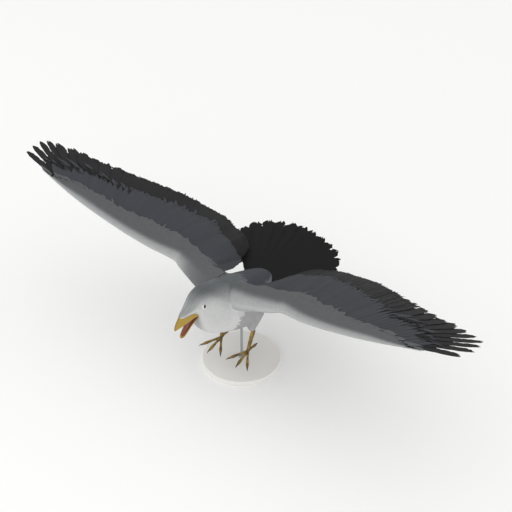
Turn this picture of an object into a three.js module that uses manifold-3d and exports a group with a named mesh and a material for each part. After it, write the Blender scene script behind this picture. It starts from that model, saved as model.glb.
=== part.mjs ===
// A herring gull in flight, life size, on a plain display stand.
// Millimetres. +Z is up, the bird faces -Y and +X is its left side.
// The origin is the middle of the underside of the stand's base.

import * as THREE from "three";
import { mergeVertices } from "three/addons/utils/BufferGeometryUtils.js";
import Module from "manifold-3d";

const wasm = await Module();
wasm.setup();

// ---- Sizes of the making ----
const GAP = 0.3; // space kept between neighbouring pieces
const GROW = 0.4; // how much fatter a neighbour is made before a piece is cut by it
const VANE = 0.6; // thickness of a feather
const SMOOTHING = 0.12; // how far a joined surface may move when its smallest triangles are merged
const FAR = 1500; // a length past anything on the bird

// ---- Body: heights and half widths along Y, beak end first ----
const BACK = through([
  [-244, 301], [-230, 309.5], [-212, 318.5], [-195, 330.5], [-175, 341], [-148, 340], [-110, 328],
  [-62, 311], [-18, 296], [40, 274], [80, 257], [98, 248], [109, 238], [116, 228],
]);
const UNDER = through([
  [-244, 296], [-230, 289.5], [-212, 289.5], [-198, 286], [-190, 277], [-183, 255], [-176, 230], [-160, 208],
  [-138, 186], [-110, 170], [-75, 155], [-30, 138], [10, 137], [50, 155], [85, 190], [116, 219],
]);
const HALF_WIDTH = through([
  [-244, 5], [-230, 11], [-212, 17], [-195, 22.5], [-175, 29], [-150, 36],
  [-120, 46], [-90, 55], [-50, 62], [-10, 61], [35, 53], [75, 41], [98, 28], [109, 20], [116, 13],
]);
const BROW = through([
  [-238, 0], [-214, -4], [-195, -1.5], [-180, 2.5], [-160, 4.2], [-142, 5.8], [-125, 3.6], [-105, 0.6], [-90, 0],
]); // how far the skin swells, or is drawn in, between the crown and the cheek
const BODY_ENDS = [-244, 116];
const HEAD_CUT = { y: -151, z: 280 }; // where the head ends and the neck begins
const NECK_CUT = { y: -108, z: 255 }; // where the neck ends and the torso begins
const AXIS_PITCH = 0.32; // slope of the body's axis, head end up, in radians

// ---- Head ----
const EYE = { x: 22.9, y: -176.9, z: 307, radius: 7 };
const LID = { ring: 6.6, thick: 1.15 };
// Both halves of the bill start inside the head; share along it, and depth or half width there.
const UPPER_BILL = {
  y: -181, z: 283, length: 79, drop: 0.17, floor: 1.6,
  deep: through([[0, 14], [0.3, 22], [0.6, 29], [0.74, 29.4], [0.85, 23], [0.92, 18.4], [0.975, 11.6], [1, 2]]),
  wide: through([[0, 20], [0.1, 18], [0.25, 14], [0.4, 12], [0.58, 9.8], [0.72, 7.6], [0.86, 5], [0.95, 3], [1, 1]]),
};
const LOWER_BILL = {
  y: -182, z: 281, length: 74, pitch: 0.7,
  deep: through([[0, 9], [0.5, 7.6], [0.74, 9.2], [0.92, 6.8], [1, 2.4]]),
  wide: through([[0, 18], [0.1, 16.5], [0.3, 13], [0.56, 10], [0.85, 7.4], [0.95, 5.4], [1, 2.4]]),
};
const TONGUE = { from: 0.05, to: 0.74, wide: through([[0, 6.5], [0.4, 5.2], [0.8, 3.2], [1, 0.8]]) };
const NOSTRIL = { x: 6.7, y: -239, z: 285.5 };

// ---- Wing: the leading edge and the upper skin, by distance out from the midline ----
const EDGE_Y = through([
  [30, -104], [60, -99], [90, -90], [120, -80], [150, -70], [173, -63], [250, -84], [338, -101], [460, -113],
  [582, -104], [645, -90], [700, -66],
]);
const EDGE_Z = through([
  [40, 279], [120, 282], [150, 286], [173, 293], [250, 316], [338, 345], [460, 384], [582, 415],
  [645, 424], [700, 430],
]);
const TRAIL_Y = through([
  [72, 86], [77, 112], [86, 136], [98, 150], [118, 163], [145, 172], [200, 180], [245, 177], [295, 167], [340, 152],
  [395, 127], [445, 103], [495, 86], [545, 62], [595, 42], [645, 28], [700, 0],
]);
const SLOPE = through([
  [40, -0.17], [80, -0.12], [120, -0.07], [180, -0.065], [260, -0.09], [340, -0.09], [420, -0.11],
  [541, -0.15], [645, -0.15], [700, -0.12],
]);
const CAMBER = through([[40, 38], [110, 30], [173, 26], [260, 20], [338, 13], [460, 8], [582, 3], [700, 0.5]]);
const CAMBER_PEAK = 0.33; // share of the chord where the upper skin is highest
const ROOT_FALL = through([[45, 1], [115, 0]]); // how far the skin falls off behind the shoulder
// The arm is the fleshy front of the wing, back to where the coverts leave it.
const ARM_REAR = through([
  [30, -4], [70, -2], [110, -4], [180, -4], [264, -20], [328, -38], [416, -44], [500, -62], [560, -82], [590, -92],
]);
const ARM_REAR_THICK = through([[30, 14], [110, 11], [173, 10], [338, 9], [460, 7.5], [590, 3.5]]);
const ARM_BELLY = through([[30, 34], [60, 32], [85, 24], [115, 16], [173, 11], [260, 9], [338, 8], [460, 5.5], [590, 2]]);
const ARM_ENDS = [22, 590];
const ELBOW = { x: 158, y: -12, lean: -0.15 }; // a cut that runs back between two feathers
const WRIST = { x: 341, y: -55, lean: 0.61 };

// ---- Tail fan ----
const TAIL_ROOT = { y: 92, z: 237 };
const TAIL_RISE = 0.16;
const TAIL_APEX = 8; // place along Y where the shafts of the fan would meet
const TAIL_DROOP = 5; // how much lower the fan's sides lie than its middle
const TAIL_SPREAD = 0.66; // half angle of the fan, in radians
const TAIL_COUNT = 12;
const TAIL_OUTLINE = [[0, 0.3], [0.45, 0.76], [0.88, 1], [0.965, 0.7], [1, 0.2]];
const TAIL_STUMP = { front: 70, rear: 116, wide: [38, 56] };
const TAIL_REACH = through([[0, 285], [0.35, 284], [0.52, 275], [0.66, 258]]); // from the apex to the tips

// ---- Legs ----
const HOCK = { x: 48, y: -11, z: 133 };
const SOLE = { x: 45, y: -30, z: 75 };
const THIGH = [
  { x: 27, y: 21, z: 214, r: 19 },
  { x: 39, y: 11, z: 187, r: 25 },
  { x: 40, y: 4, z: 166, r: 20 },
  { x: 43.5, y: -10, z: 148, r: 14.5 },
  { ...HOCK, r: 7.4 },
];
const SHANK_RADIUS = 5.1;
const TOES = [
  { x: 9, y: -78, z: 59.3, thick: 4 }, // inner
  { x: 48, y: -86, z: 57.3, thick: 4.3 }, // middle
  { x: 82, y: -79, z: 59.6, thick: 4.1 }, // outer
  { x: 47, y: 10, z: 78, thick: 3.8 }, // hind
];
const TOE_SHAPE = [1, 0.84, 0.72, 0.84, 1, 0.6, 0.12]; // how thick a toe is along it, claw and all
const TOE_LIFT = [0, 0.9, 1.4, 1, 0.6, 0.2, -1.8]; // how far it lies over a straight line

// ---- Stand ----
const BASE = { radius: 105, thick: 14, bevel: 2 };
const ROD = { radius: 3.5, top: 176, collar: 9, collarHigh: 6 };

// ---- Colours ----
const COLOUR = {
  white: 0xd8d8d6, grey: 0x6a6d70, slate: 0x494b4f, black: 0x262626, bill: 0xc79c3c,
  mouth: 0x96504a, iris: 0xe9e6d2, leg: 0x93773f, base: 0xe6e4df, steel: 0xb9bcc0,
};

// ---- Small helpers ----

/** A smooth function through a short table of [place, value] pairs, level past both ends. */
function through(table) {
  const last = table.length - 1;
  const slopes = table.map((_, i) => {
    const [x0, v0] = table[Math.max(i - 1, 0)];
    const [x1, v1] = table[Math.min(i + 1, last)];
    return (v1 - v0) / (x1 - x0);
  });
  return (x) => {
    if (x <= table[0][0]) return table[0][1];
    if (x >= table[last][0]) return table[last][1];
    const i = table.findIndex(([place]) => place > x) - 1;
    const [x0, v0] = table[i];
    const [x1, v1] = table[i + 1];
    const h = x1 - x0;
    const t = (x - x0) / h;
    const s = 1 - t;
    return (
      v0 * s * s * (1 + 2 * t) + v1 * t * t * (3 - 2 * t) + h * t * s * (slopes[i] * s - slopes[i + 1] * t)
    );
  };
}

const mix = (a, b, t) => a + (b - a) * t;
const clamp = (v, low, high) => Math.min(high, Math.max(low, v));
const ease = (t) => t * t * (3 - 2 * t);
const vec = (x, y, z) => new THREE.Vector3(x, y, z);

/** A closed geometry as a solid that faces out. */
function solid(geometry) {
  const bare = geometry.clone();
  for (const name of Object.keys(bare.attributes)) if (name !== "position") bare.deleteAttribute(name);
  const merged = mergeVertices(bare, 1e-4);
  const index = new Uint32Array(merged.index.array);
  const kept = [];
  for (let i = 0; i < index.length; i += 3) {
    const [a, b, c] = index.subarray(i, i + 3);
    if (a !== b && b !== c && c !== a) kept.push(a, b, c);
  }
  const build = (triVerts) =>
    new wasm.Manifold(new wasm.Mesh({ numProp: 3, vertProperties: merged.attributes.position.array, triVerts }));
  const made = build(new Uint32Array(kept));
  if (made.volume() > 0) return made;
  for (let i = 0; i < kept.length; i += 3) [kept[i + 1], kept[i + 2]] = [kept[i + 2], kept[i + 1]];
  return build(new Uint32Array(kept));
}

/** A solid as a geometry. */
function geometryOf(made) {
  const mesh = made.getMesh();
  return new THREE.BufferGeometry()
    .setAttribute("position", new THREE.BufferAttribute(new Float32Array(mesh.vertProperties), 3))
    .setIndex(new THREE.BufferAttribute(new Uint32Array(mesh.triVerts), 1));
}

/** Solids joined into one, of which only the largest closed surface is kept. */
function joined(solids) {
  return largest(wasm.Manifold.union(solids)).simplify(SMOOTHING);
}

function largest(made) {
  return made.decompose().reduce((best, body) => (body.volume() > best.volume() ? body : best));
}

/** The same geometry on the bird's other side. */
function mirrored(geometry) {
  const copy = geometry.clone().scale(-1, 1, 1);
  const index = copy.index.array;
  for (let i = 0; i < index.length; i += 3) [index[i + 1], index[i + 2]] = [index[i + 2], index[i + 1]];
  return copy;
}

/** Everything on one side of a plane through a point, the side that the normal points to. */
function halfSpace(point, normal) {
  const box = new THREE.BoxGeometry(FAR, FAR, FAR).translate(0, 0, FAR / 2);
  const turn = new THREE.Quaternion().setFromUnitVectors(vec(0, 0, 1), normal.clone().normalize());
  return solid(box.applyQuaternion(turn).translate(point.x, point.y, point.z));
}

/** A tube whose skin is point(along, angle), along running from 0 to 1, with closed ends. */
function tube(rows, sides, point) {
  const geometry = new THREE.CylinderGeometry(1, 1, 1, sides, rows);
  const place = geometry.attributes.position;
  for (let i = 0; i < place.count; i++) {
    const along = 0.5 - place.getY(i);
    const onSkin = Math.hypot(place.getX(i), place.getZ(i)) > 0.5;
    const target = vec(0, 0, 0);
    if (onSkin) target.copy(point(along, Math.atan2(place.getZ(i), place.getX(i))));
    else for (let k = 0; k < sides; k++) target.addScaledVector(point(along, (k / sides) * 2 * Math.PI), 1 / sides);
    place.setXYZ(i, target.x, target.y, target.z);
  }
  return solid(geometry);
}

/** A round, tapering limb through a few points, each with its own radius. */
function limb(points, radii, sides, rows) {
  const path = new THREE.CatmullRomCurve3(points.map((p) => vec(p.x, p.y, p.z)));
  const size = through(radii.map((r, i) => [i / (radii.length - 1), r]));
  const across = vec(1, 0, 0);
  return tube(rows, sides, (along, angle) => {
    const tangent = path.getTangent(along);
    const side = across.clone().addScaledVector(tangent, -across.dot(tangent)).normalize();
    const up = tangent.clone().cross(side);
    const r = size(along);
    return path
      .getPoint(along)
      .addScaledVector(side, r * Math.cos(angle))
      .addScaledVector(up, r * Math.sin(angle));
  });
}

// ---- Body ----

/** A point on the body's skin at a place along Y; grow makes the body fatter all round. */
function bodyPoint(y, angle, grow) {
  const top = BACK(y) + grow;
  const bottom = UNDER(y) - grow;
  const middle = mix(bottom, top, 0.5);
  const width = HALF_WIDTH(y) + grow;
  const side = Math.cos(angle);
  const up = Math.sin(angle);
  const swell = BROW(y) * Math.max(0, 2 * up * Math.abs(side)) ** 1.5;
  const x = width * Math.abs(side) ** 0.94 + 0.85 * swell;
  return vec(x * Math.sign(side), y, middle + ((top - bottom) / 2) * up + 0.5 * swell);
}

const BODY_ROWS = 30;
const BODY_SIDES = 24;

function wholeBody(grow, shift) {
  const [front, rear] = [BODY_ENDS[0] - grow, BODY_ENDS[1] + grow];
  const crowd = (t) => t ** 1.25; // more rows in the head
  return tube(BODY_ROWS, BODY_SIDES, (along, angle) =>
    bodyPoint(mix(front, rear, crowd(along)), angle, grow).add(vec(0, shift, 0)),
  );
}

const axisForward = vec(0, -Math.cos(AXIS_PITCH), Math.sin(AXIS_PITCH));

/** The body in front of a cut, or behind it, less half the gap. */
function bodyPart(whole, frontCut, rearCut) {
  let part = whole;
  const half = GAP / 2;
  if (frontCut) {
    const at = vec(0, frontCut.y, frontCut.z).addScaledVector(axisForward, -half);
    part = part.subtract(halfSpace(at, axisForward));
  }
  if (rearCut) {
    const at = vec(0, rearCut.y, rearCut.z).addScaledVector(axisForward, half);
    part = part.subtract(halfSpace(at, axisForward.clone().negate()));
  }
  return part;
}

// ---- Head pieces ----

const eyeCentre = (side) => vec(side * EYE.x, EYE.y, EYE.z);

function eyeBall(side, grow) {
  const ball = new THREE.SphereGeometry(EYE.radius + grow, 12, 8).rotateZ(Math.PI / 2);
  const c = eyeCentre(side);
  return solid(ball.translate(c.x, c.y, c.z));
}

/** The rim of the lids: a ring that stands a little proud of the face round the eye. */
function lids(side) {
  const ring = new THREE.TorusGeometry(LID.ring, LID.thick, 5, 16).rotateY(Math.PI / 2);
  const c = eyeCentre(side);
  return solid(ring.scale(1, 1.08, 0.92).rotateZ(-side * 0.28).translate(c.x + side * 2.9, c.y, c.z));
}

/** The upper half of the bill, domed above and nearly flat below, its ridge bent down to the tip. */
function upperBill() {
  const { y, z, length, drop, floor, deep, wide } = UPPER_BILL;
  return tube(13, 14, (along, angle) => {
    const up = Math.sin(angle);
    const height = up > 0 ? deep(along) * up : floor * up;
    const narrow = up > 0 ? Math.sqrt(1 - 0.25 * up * up) : 1;
    return vec(wide(along) * Math.cos(angle) * narrow, y - length * along, z - drop * length * along + height);
  });
}

/** A place over the line of the lower bill's rims: share along it, half width and height over it. */
function overRim(along, x, height) {
  const { y, z, length, pitch } = LOWER_BILL;
  const s = length * along;
  return vec(
    x,
    y - s * Math.cos(pitch) - height * Math.sin(pitch),
    z - s * Math.sin(pitch) + height * Math.cos(pitch),
  );
}

/** The lower half of the bill: a trough that opens upwards, deepest at the angle near its tip. */
function lowerBill() {
  const { deep, wide } = LOWER_BILL;
  return tube(10, 16, (along, angle) => {
    const up = Math.sin(angle);
    const side = Math.cos(angle);
    const trough = 0.45 * (1 - side * side) * deep(along);
    return overRim(along, wide(along) * side, up > 0 ? -trough * up : deep(along) * up);
  });
}

/** The tongue, lying in the trough of the lower bill. */
function tongue() {
  return tube(7, 10, (along, angle) => {
    const lift = 0.2 + 1.5 * Math.sin(angle) + 1.6 * along * (1 - along);
    return overRim(mix(TONGUE.from, TONGUE.to, along), TONGUE.wide(along) * Math.cos(angle), lift);
  });
}

function nostril(side) {
  const slot = new THREE.SphereGeometry(1, 8, 6).scale(2.4, 4.6, 1.2);
  return solid(slot.rotateX(0.35).translate(side * NOSTRIL.x, NOSTRIL.y, NOSTRIL.z));
}

// ---- Wing ----

/** Height of the wing's upper skin at a place in plan. */
function wingSkin(x, y) {
  const back = y - EDGE_Y(x);
  const q = clamp(back / (TRAIL_Y(x) - EDGE_Y(x)), 0, 1.1);
  const away = q < CAMBER_PEAK ? (CAMBER_PEAK - q) / CAMBER_PEAK : (q - CAMBER_PEAK) / (1 - CAMBER_PEAK);
  const rear = mix(1 - away * away, Math.max(0, 1 - away) ** 2.2, ROOT_FALL(x));
  const bump = q < CAMBER_PEAK ? Math.sqrt(Math.max(0, 1 - away * away)) : rear;
  return EDGE_Z(x) + SLOPE(x) * back + CAMBER(x) * bump;
}

/** A point on the arm's skin, angle 0 at its rear edge and half a turn at its leading edge. */
function armPoint(x, angle, grow) {
  const front = EDGE_Y(x);
  const p = (1 + Math.cos(angle)) / 2;
  const y = mix(front, ARM_REAR(x), p);
  const top = wingSkin(x, y);
  const nose = clamp(p / 0.35, 0, 1);
  const belly = EDGE_Z(x) + SLOPE(x) * (y - front) - ARM_BELLY(x) * Math.sqrt(1 - (1 - nose) ** 2);
  const bottom = mix(belly, top - ARM_REAR_THICK(x), ease(clamp((p - 0.35) / 0.65, 0, 1)));
  const rear = clamp((p - 0.9) / 0.1, 0, 1) ** 2; // the rear edge is rounded
  const middle = (top + bottom) / 2;
  const height = mix(Math.sin(angle) >= 0 ? top : bottom, middle, rear);
  const spread = Math.sin(angle) >= 0 ? grow : -grow;
  return vec(x, y + grow * Math.cos(angle), height + spread);
}

function wholeArm(grow) {
  const [inner, outer] = ARM_ENDS;
  return tube(22, 12, (along, angle) => armPoint(mix(inner, outer, along), angle, grow));
}

/** The outer or inner side of a cut across the arm that runs back between two feathers. */
function armSide(cut, outwards, gap) {
  const normal = vec(Math.cos(cut.lean), -Math.sin(cut.lean), 0).multiplyScalar(outwards ? 1 : -1);
  return halfSpace(vec(cut.x, cut.y, 300).addScaledVector(normal, gap), normal);
}

const arm = wholeArm(0);

/** A stretch of the arm between two cuts, with the gap taken off, or put on when the arm is fat. */
function armStretch(whole, innerCut, outerCut, gap) {
  let part = whole;
  if (innerCut) part = part.subtract(armSide(innerCut, false, -gap));
  if (outerCut) part = part.subtract(armSide(outerCut, true, -gap));
  return part;
}

// ---- Feathers ----
// A tier is a row of feathers, told by these values:
//   root, tip  places in plan, by share along the row from its outer to its inner end
//   depth      how far under the skin a feather lies at its root and at its tip
//   tilt       rise per millimetre across a feather, so that each clears the one that it lies over
//   bow        how far the shaft bends forward at its middle
//   outline    pairs of share along the feather and share of its full width

const FLIGHT = [[0, 0.75], [0.35, 1], [0.8, 0.95], [0.95, 0.72], [1, 0.24]];
const FINGER = [[0, 0.5], [0.3, 0.85], [0.6, 0.8], [0.75, 0.56], [0.94, 0.44], [1, 0.12]];
const COVERT = [[0, 0.7], [0.35, 0.95], [0.72, 1], [0.9, 0.68], [1, 0.14]];

/** The next of a row of chance numbers from -1 to 1, the same on every run. */
function chance(seed) {
  let state = seed;
  return () => {
    state = (state * 1103515245 + 12345) % 2147483648;
    return (state / 2147483648) * 2 - 1;
  };
}

/** One feather: a thin closed sheet along a bowed shaft, split alike on both faces. */
function feather({ root, tip, bow, width, outline, height }) {
  const [dx, dy] = [tip[0] - root[0], tip[1] - root[1]];
  const length = Math.hypot(dx, dy);
  const [nx, ny] = [dy / length, -dx / length]; // across the feather, towards the wing's leading edge
  const tops = outline.map(([t, share]) => {
    const out = bow * 4 * t * (1 - t);
    const [cx, cy] = [root[0] + dx * t + nx * out, root[1] + dy * t + ny * out];
    return [-0.5, 0.5].map((side) => {
      const d = side * share * width;
      const [x, y] = [cx + nx * d, cy + ny * d];
      return vec(x, y, height(x, y, t, d));
    });
  });
  const points = [...tops.flat(), ...tops.flat().map((p) => vec(p.x, p.y, p.z - VANE))];
  const low = tops.length * 2;
  const faces = [];
  const quad = (a, b, c, d) => faces.push(a, b, c, a, c, d);
  for (let a = 0; a < low - 2; a += 2) {
    quad(a, a + 1, a + 3, a + 2); // upper face
    quad(a + low, a + 2 + low, a + 3 + low, a + 1 + low); // lower face
    quad(a + 1, a + 1 + low, a + 3 + low, a + 3); // leading side
    quad(a + 2, a + 2 + low, a + low, a); // trailing side
  }
  quad(0, low, low + 1, 1); // root
  quad(low - 1, 2 * low - 1, 2 * low - 2, low - 2); // tip
  return solid(new THREE.BufferGeometry().setFromPoints(points).setIndex(faces));
}

/** A tier of overlapping feathers on a skin, each a little different from the next. */
function feathers(tier, skin) {
  const next = chance(tier.count * 7 + Math.round(tier.width));
  return Array.from({ length: tier.count }, (_, k) => {
    const s = k / (tier.count - 1);
    const [tipX, tipY] = tier.tip(s);
    const [slide, reach, fat, droop] = [next() * 1.5, next() * 2, 1 + next() * 0.05, next() * 0.15];
    return feather({
      root: tier.root(s),
      tip: [tipX + slide, tipY + reach],
      bow: tier.bow,
      width: tier.width * fat,
      outline: tier.fingers > tier.count - 1 - k ? FINGER : tier.outline,
      height: (x, y, t, d) => skin(x, y) - mix(tier.depth[0], tier.depth[1], t) + tier.tilt * d - droop * t,
    });
  });
}

// Places of the tips along the wing, and how the tiers end.
const PRIMARY_TIPS = [
  [438, 108], [468, 98], [503, 86], [538, 70], [572, 57], [605, 46], [637, 36], [668, 24], [692, 8], [701, -11],
  [699, -39], [685, -73],
];
const GREATER_END = through([
  [60, 66], [80, 88], [120, 99], [170, 120], [197, 130], [245, 116], [295, 105], [345, 77], [395, 58], [445, 28],
  [495, 17], [545, 4], [612, -56],
]);

/** A row's tips, spread between two distances out along a curve. */
function along(from, to, curve) {
  return (s) => [mix(from, to, s), curve(mix(from, to, s))];
}

/** A row's roots, in a line between two places in plan. */
function line([x0, y0], [x1, y1]) {
  return (s) => [mix(x0, x1, s), mix(y0, y1, s)];
}

const primaries = {
  count: PRIMARY_TIPS.length, width: 35, outline: FLIGHT, fingers: 5, bow: 4, depth: [4.4, 2], tilt: 0.1,
  root: line([341, -54], [512, -92]), tip: (s) => PRIMARY_TIPS[Math.round(s * (PRIMARY_TIPS.length - 1))],
};
const primaryCoverts = {
  count: 9, width: 29, outline: COVERT, bow: 2, depth: [2.4, -0.3], tilt: 0.07,
  root: line([342, -58], [524, -94]), tip: along(408, 612, GREATER_END),
};
const secondaries = {
  count: 13, width: 34, outline: FLIGHT, bow: 0, depth: [6, 2], tilt: 0.07,
  root: line([352, -56], [166, -24]), tip: along(448, 140, TRAIL_Y),
};
const greaterCoverts = {
  count: 11, width: 34, outline: COVERT, bow: 0, depth: [3, -0.3], tilt: 0.06,
  root: line([350, -57], [167, -24]), tip: along(416, 142, GREATER_END),
};
const tertials = {
  count: 5, width: 34, outline: FLIGHT, bow: 0, depth: [6, 2], tilt: 0.07,
  root: line([158, -24], [60, -16]), tip: along(132, 84, TRAIL_Y),
};
const tertialCoverts = {
  count: 5, width: 33, outline: COVERT, bow: 0, depth: [3, -0.3], tilt: 0.06,
  root: line([158, -24], [60, -16]), tip: along(134, 70, GREATER_END),
};

/** A length of the wing between two cuts: its stretch of the arm with the tiers that grow from it. */
function wingPart(innerCut, outerCut, tiers, neighbours) {
  const vanes = tiers.flatMap((tier) => feathers(tier, wingSkin));
  let made = armStretch(wasm.Manifold.union([arm, ...vanes]), innerCut, outerCut, GAP / 2);
  for (const other of neighbours) made = made.subtract(other);
  return largest(made).simplify(SMOOTHING);
}

// ---- Tail ----

function tailSkin(x, y) {
  const back = y - TAIL_ROOT.y;
  return TAIL_ROOT.z + TAIL_RISE * back - TAIL_DROOP * (x / 150) ** 2;
}

/** A place on the fan, by its angle from the middle and its distance from the apex. */
function fanPlace(angle, reach) {
  return [Math.sin(angle) * reach, TAIL_APEX + Math.cos(angle) * reach];
}

/** The tail: a flat stump, and its feathers with the middle one on top and the outer ones below. */
function tail() {
  const stump = tube(6, 16, (along, angle) => {
    const y = mix(TAIL_STUMP.front, TAIL_STUMP.rear, along);
    const end = Math.sqrt(1 - along ** 4) + 0.03;
    const [wide, thick] = [mix(TAIL_STUMP.wide[0], TAIL_STUMP.wide[1], along), mix(7, 4.5, along)];
    const x = wide * end * Math.cos(angle);
    return vec(x, y, tailSkin(x, y) - 3 + thick * end * Math.sin(angle));
  });
  const middle = Math.floor((TAIL_COUNT - 1) / 2);
  const next = chance(TAIL_COUNT);
  const vanes = Array.from({ length: TAIL_COUNT }, (_, k) => {
    const angle = mix(-TAIL_SPREAD, TAIL_SPREAD, k / (TAIL_COUNT - 1));
    const tilt = 0.06 * Math.sign(k - middle);
    return feather({
      root: fanPlace(angle * 0.8, 74),
      tip: fanPlace(angle, TAIL_REACH(Math.abs(angle)) + next() * 2),
      bow: 0,
      width: 43,
      outline: TAIL_OUTLINE,
      height: (x, y, t, d) => tailSkin(x, y) - mix(4, 1.5, t) - tilt * d,
    });
  });
  return wasm.Manifold.union([stump, ...vanes]);
}

// ---- Legs ----

function thigh() {
  return limb(THIGH, THIGH.map((p) => p.r), 16, 9);
}

/** The bare shank, from inside the thigh down into the foot; grow makes it fatter and longer. */
function shank(grow) {
  const hock = vec(HOCK.x, HOCK.y, HOCK.z);
  const sole = vec(SOLE.x, SOLE.y, SOLE.z);
  const reach = hock.distanceTo(sole);
  const [start, end] = [sole.clone().lerp(hock, 1.03), sole.clone().lerp(hock, (2 - grow) / reach)];
  return limb([start, sole.clone().lerp(hock, 0.5), end],
    [SHANK_RADIUS + 1 + grow, SHANK_RADIUS + grow, SHANK_RADIUS - 0.8 + grow], 10, 4);
}

/** One toe: thickest at its last joint, and drawn out to a curved claw. */
function toe({ x, y, z, thick }) {
  const start = vec(SOLE.x, SOLE.y, SOLE.z);
  const end = vec(x, y, z);
  const last = TOE_SHAPE.length - 1;
  const points = TOE_LIFT.map((lift, i) => start.clone().lerp(end, i / last).add(vec(0, 0, lift)));
  return limb(points, TOE_SHAPE.map((share) => share * thick), 7, 9);
}

function foot() {
  const ankle = new THREE.SphereGeometry(SHANK_RADIUS + 0.6, 10, 6).translate(SOLE.x, SOLE.y, SOLE.z);
  return joined([solid(ankle), ...TOES.map(toe)]);
}

// ---- Stand ----

function standBase() {
  const { radius, thick, bevel } = BASE;
  const profile = [
    [0, 0], [radius - bevel / 2, 0], [radius, bevel / 2], [radius, thick - bevel], [radius - bevel, thick], [0, thick],
  ].map(([r, z]) => new THREE.Vector2(r, z));
  return solid(new THREE.LatheGeometry(profile, 40).rotateX(Math.PI / 2));
}

function standRod(grow) {
  const { radius, top, collar, collarHigh } = ROD;
  const foot0 = BASE.thick + GAP;
  const profile = [
    [0, foot0], [collar, foot0], [collar, foot0 + collarHigh - 1], [collar - 1, foot0 + collarHigh],
    [radius + grow, foot0 + collarHigh], [radius + grow, top - 1 + grow], [radius - 1 + grow, top + grow], [0, top + grow],
  ].map(([r, z]) => new THREE.Vector2(r, z));
  return solid(new THREE.LatheGeometry(profile, 16).rotateX(Math.PI / 2));
}

// ---- Assembly ----

const gull = new THREE.Group();

function add(name, made, colour, rough = 0.8, metal = 0) {
  const geometry = made.isBufferGeometry ? made : geometryOf(made);
  const material = new THREE.MeshStandardMaterial({ color: colour, roughness: rough, metalness: metal });
  const mesh = new THREE.Mesh(geometry, material);
  mesh.name = name;
  gull.add(mesh);
}

function addPair(name, made, colour, rough) {
  const geometry = geometryOf(made);
  add(`${name}_left`, geometry, colour, rough);
  add(`${name}_right`, mirrored(geometry), colour, rough);
}

const body = wholeBody(0, 0);
const fatBody = wasm.Manifold.union([-GROW, 0, GROW].map((shift) => wholeBody(GROW, shift)));

let head = bodyPart(body, null, HEAD_CUT);
for (const side of [-1, 1]) head = head.add(lids(side));
for (const side of [-1, 1]) head = head.subtract(eyeBall(side, GAP));
add("head", largest(head), COLOUR.white);
addPair("eye", eyeBall(1, 0), COLOUR.iris, 0.15);

let upper = upperBill().subtract(fatBody);
for (const side of [-1, 1]) upper = upper.subtract(nostril(side));
upper = largest(upper);
add("bill_upper", upper, COLOUR.bill, 0.4);
const lower = largest(lowerBill().subtract(fatBody));
add("bill_lower", lower, COLOUR.bill, 0.4);
add("tongue", largest(tongue().subtract(fatBody)), COLOUR.mouth, 0.5);

add("neck", bodyPart(body, HEAD_CUT, NECK_CUT), COLOUR.white);
add("torso", largest(bodyPart(body, NECK_CUT, null).subtract(standRod(GAP))), COLOUR.grey);

addPair("wing_upper_arm", wingPart(null, ELBOW, [tertials, tertialCoverts], [fatBody]), COLOUR.slate);
addPair("wing_forearm", wingPart(ELBOW, WRIST, [secondaries, greaterCoverts], [fatBody]), COLOUR.slate);
addPair("wing_hand", wingPart(WRIST, null, [primaries, primaryCoverts], []), COLOUR.black);

add("tail", largest(tail().subtract(fatBody)).simplify(SMOOTHING), COLOUR.black);

const hockCut = vec(HOCK.x, HOCK.y, HOCK.z);
const shankAxis = hockCut.clone().sub(vec(SOLE.x, SOLE.y, SOLE.z)).normalize();
const down = shankAxis.clone().negate();
const thighPart = thigh().subtract(fatBody).subtract(halfSpace(hockCut.clone().addScaledVector(shankAxis, 1.5), down));
addPair("thigh", largest(thighPart), COLOUR.white);
const shankPart = shank(0).subtract(halfSpace(hockCut.clone().addScaledVector(shankAxis, 1.5 - GAP), shankAxis));
addPair("shank", largest(shankPart), COLOUR.leg, 0.6);
addPair("foot", largest(foot().subtract(shank(GAP))), COLOUR.leg, 0.6);

add("stand_base", standBase(), COLOUR.base, 0.35);
add("stand_rod", standRod(0), COLOUR.steel, 0.3, 1);

export default gull;
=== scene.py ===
"""A herring gull in flight, life size, on a plain display stand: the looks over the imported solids.

Tables are in millimetres and the scene in metres. The bird faces -Y, +X is its left side, +Z is up.
"""

import logging
import math
from collections.abc import Callable, Sequence
from dataclasses import dataclass
from enum import Enum
from functools import partial

import bpy
import numpy as np
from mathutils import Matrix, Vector
from mathutils.bvhtree import BVHTree


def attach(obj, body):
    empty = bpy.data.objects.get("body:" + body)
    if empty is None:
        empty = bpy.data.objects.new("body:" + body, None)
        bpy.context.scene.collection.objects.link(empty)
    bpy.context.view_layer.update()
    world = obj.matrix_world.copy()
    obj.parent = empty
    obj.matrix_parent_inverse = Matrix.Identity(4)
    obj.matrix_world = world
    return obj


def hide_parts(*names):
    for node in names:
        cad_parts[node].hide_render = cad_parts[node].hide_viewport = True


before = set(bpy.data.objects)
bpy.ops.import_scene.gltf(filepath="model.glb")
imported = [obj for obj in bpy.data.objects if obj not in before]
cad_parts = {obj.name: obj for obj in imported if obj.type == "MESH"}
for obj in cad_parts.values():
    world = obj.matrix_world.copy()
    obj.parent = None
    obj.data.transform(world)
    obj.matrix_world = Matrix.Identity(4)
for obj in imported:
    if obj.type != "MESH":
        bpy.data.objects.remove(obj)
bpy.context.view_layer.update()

MM = 0.001
ROOT = "root"
SIDES = ((1, "left"), (-1, "right"))
LOG = logging.getLogger("gull")


# ---- Colours ----


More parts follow.
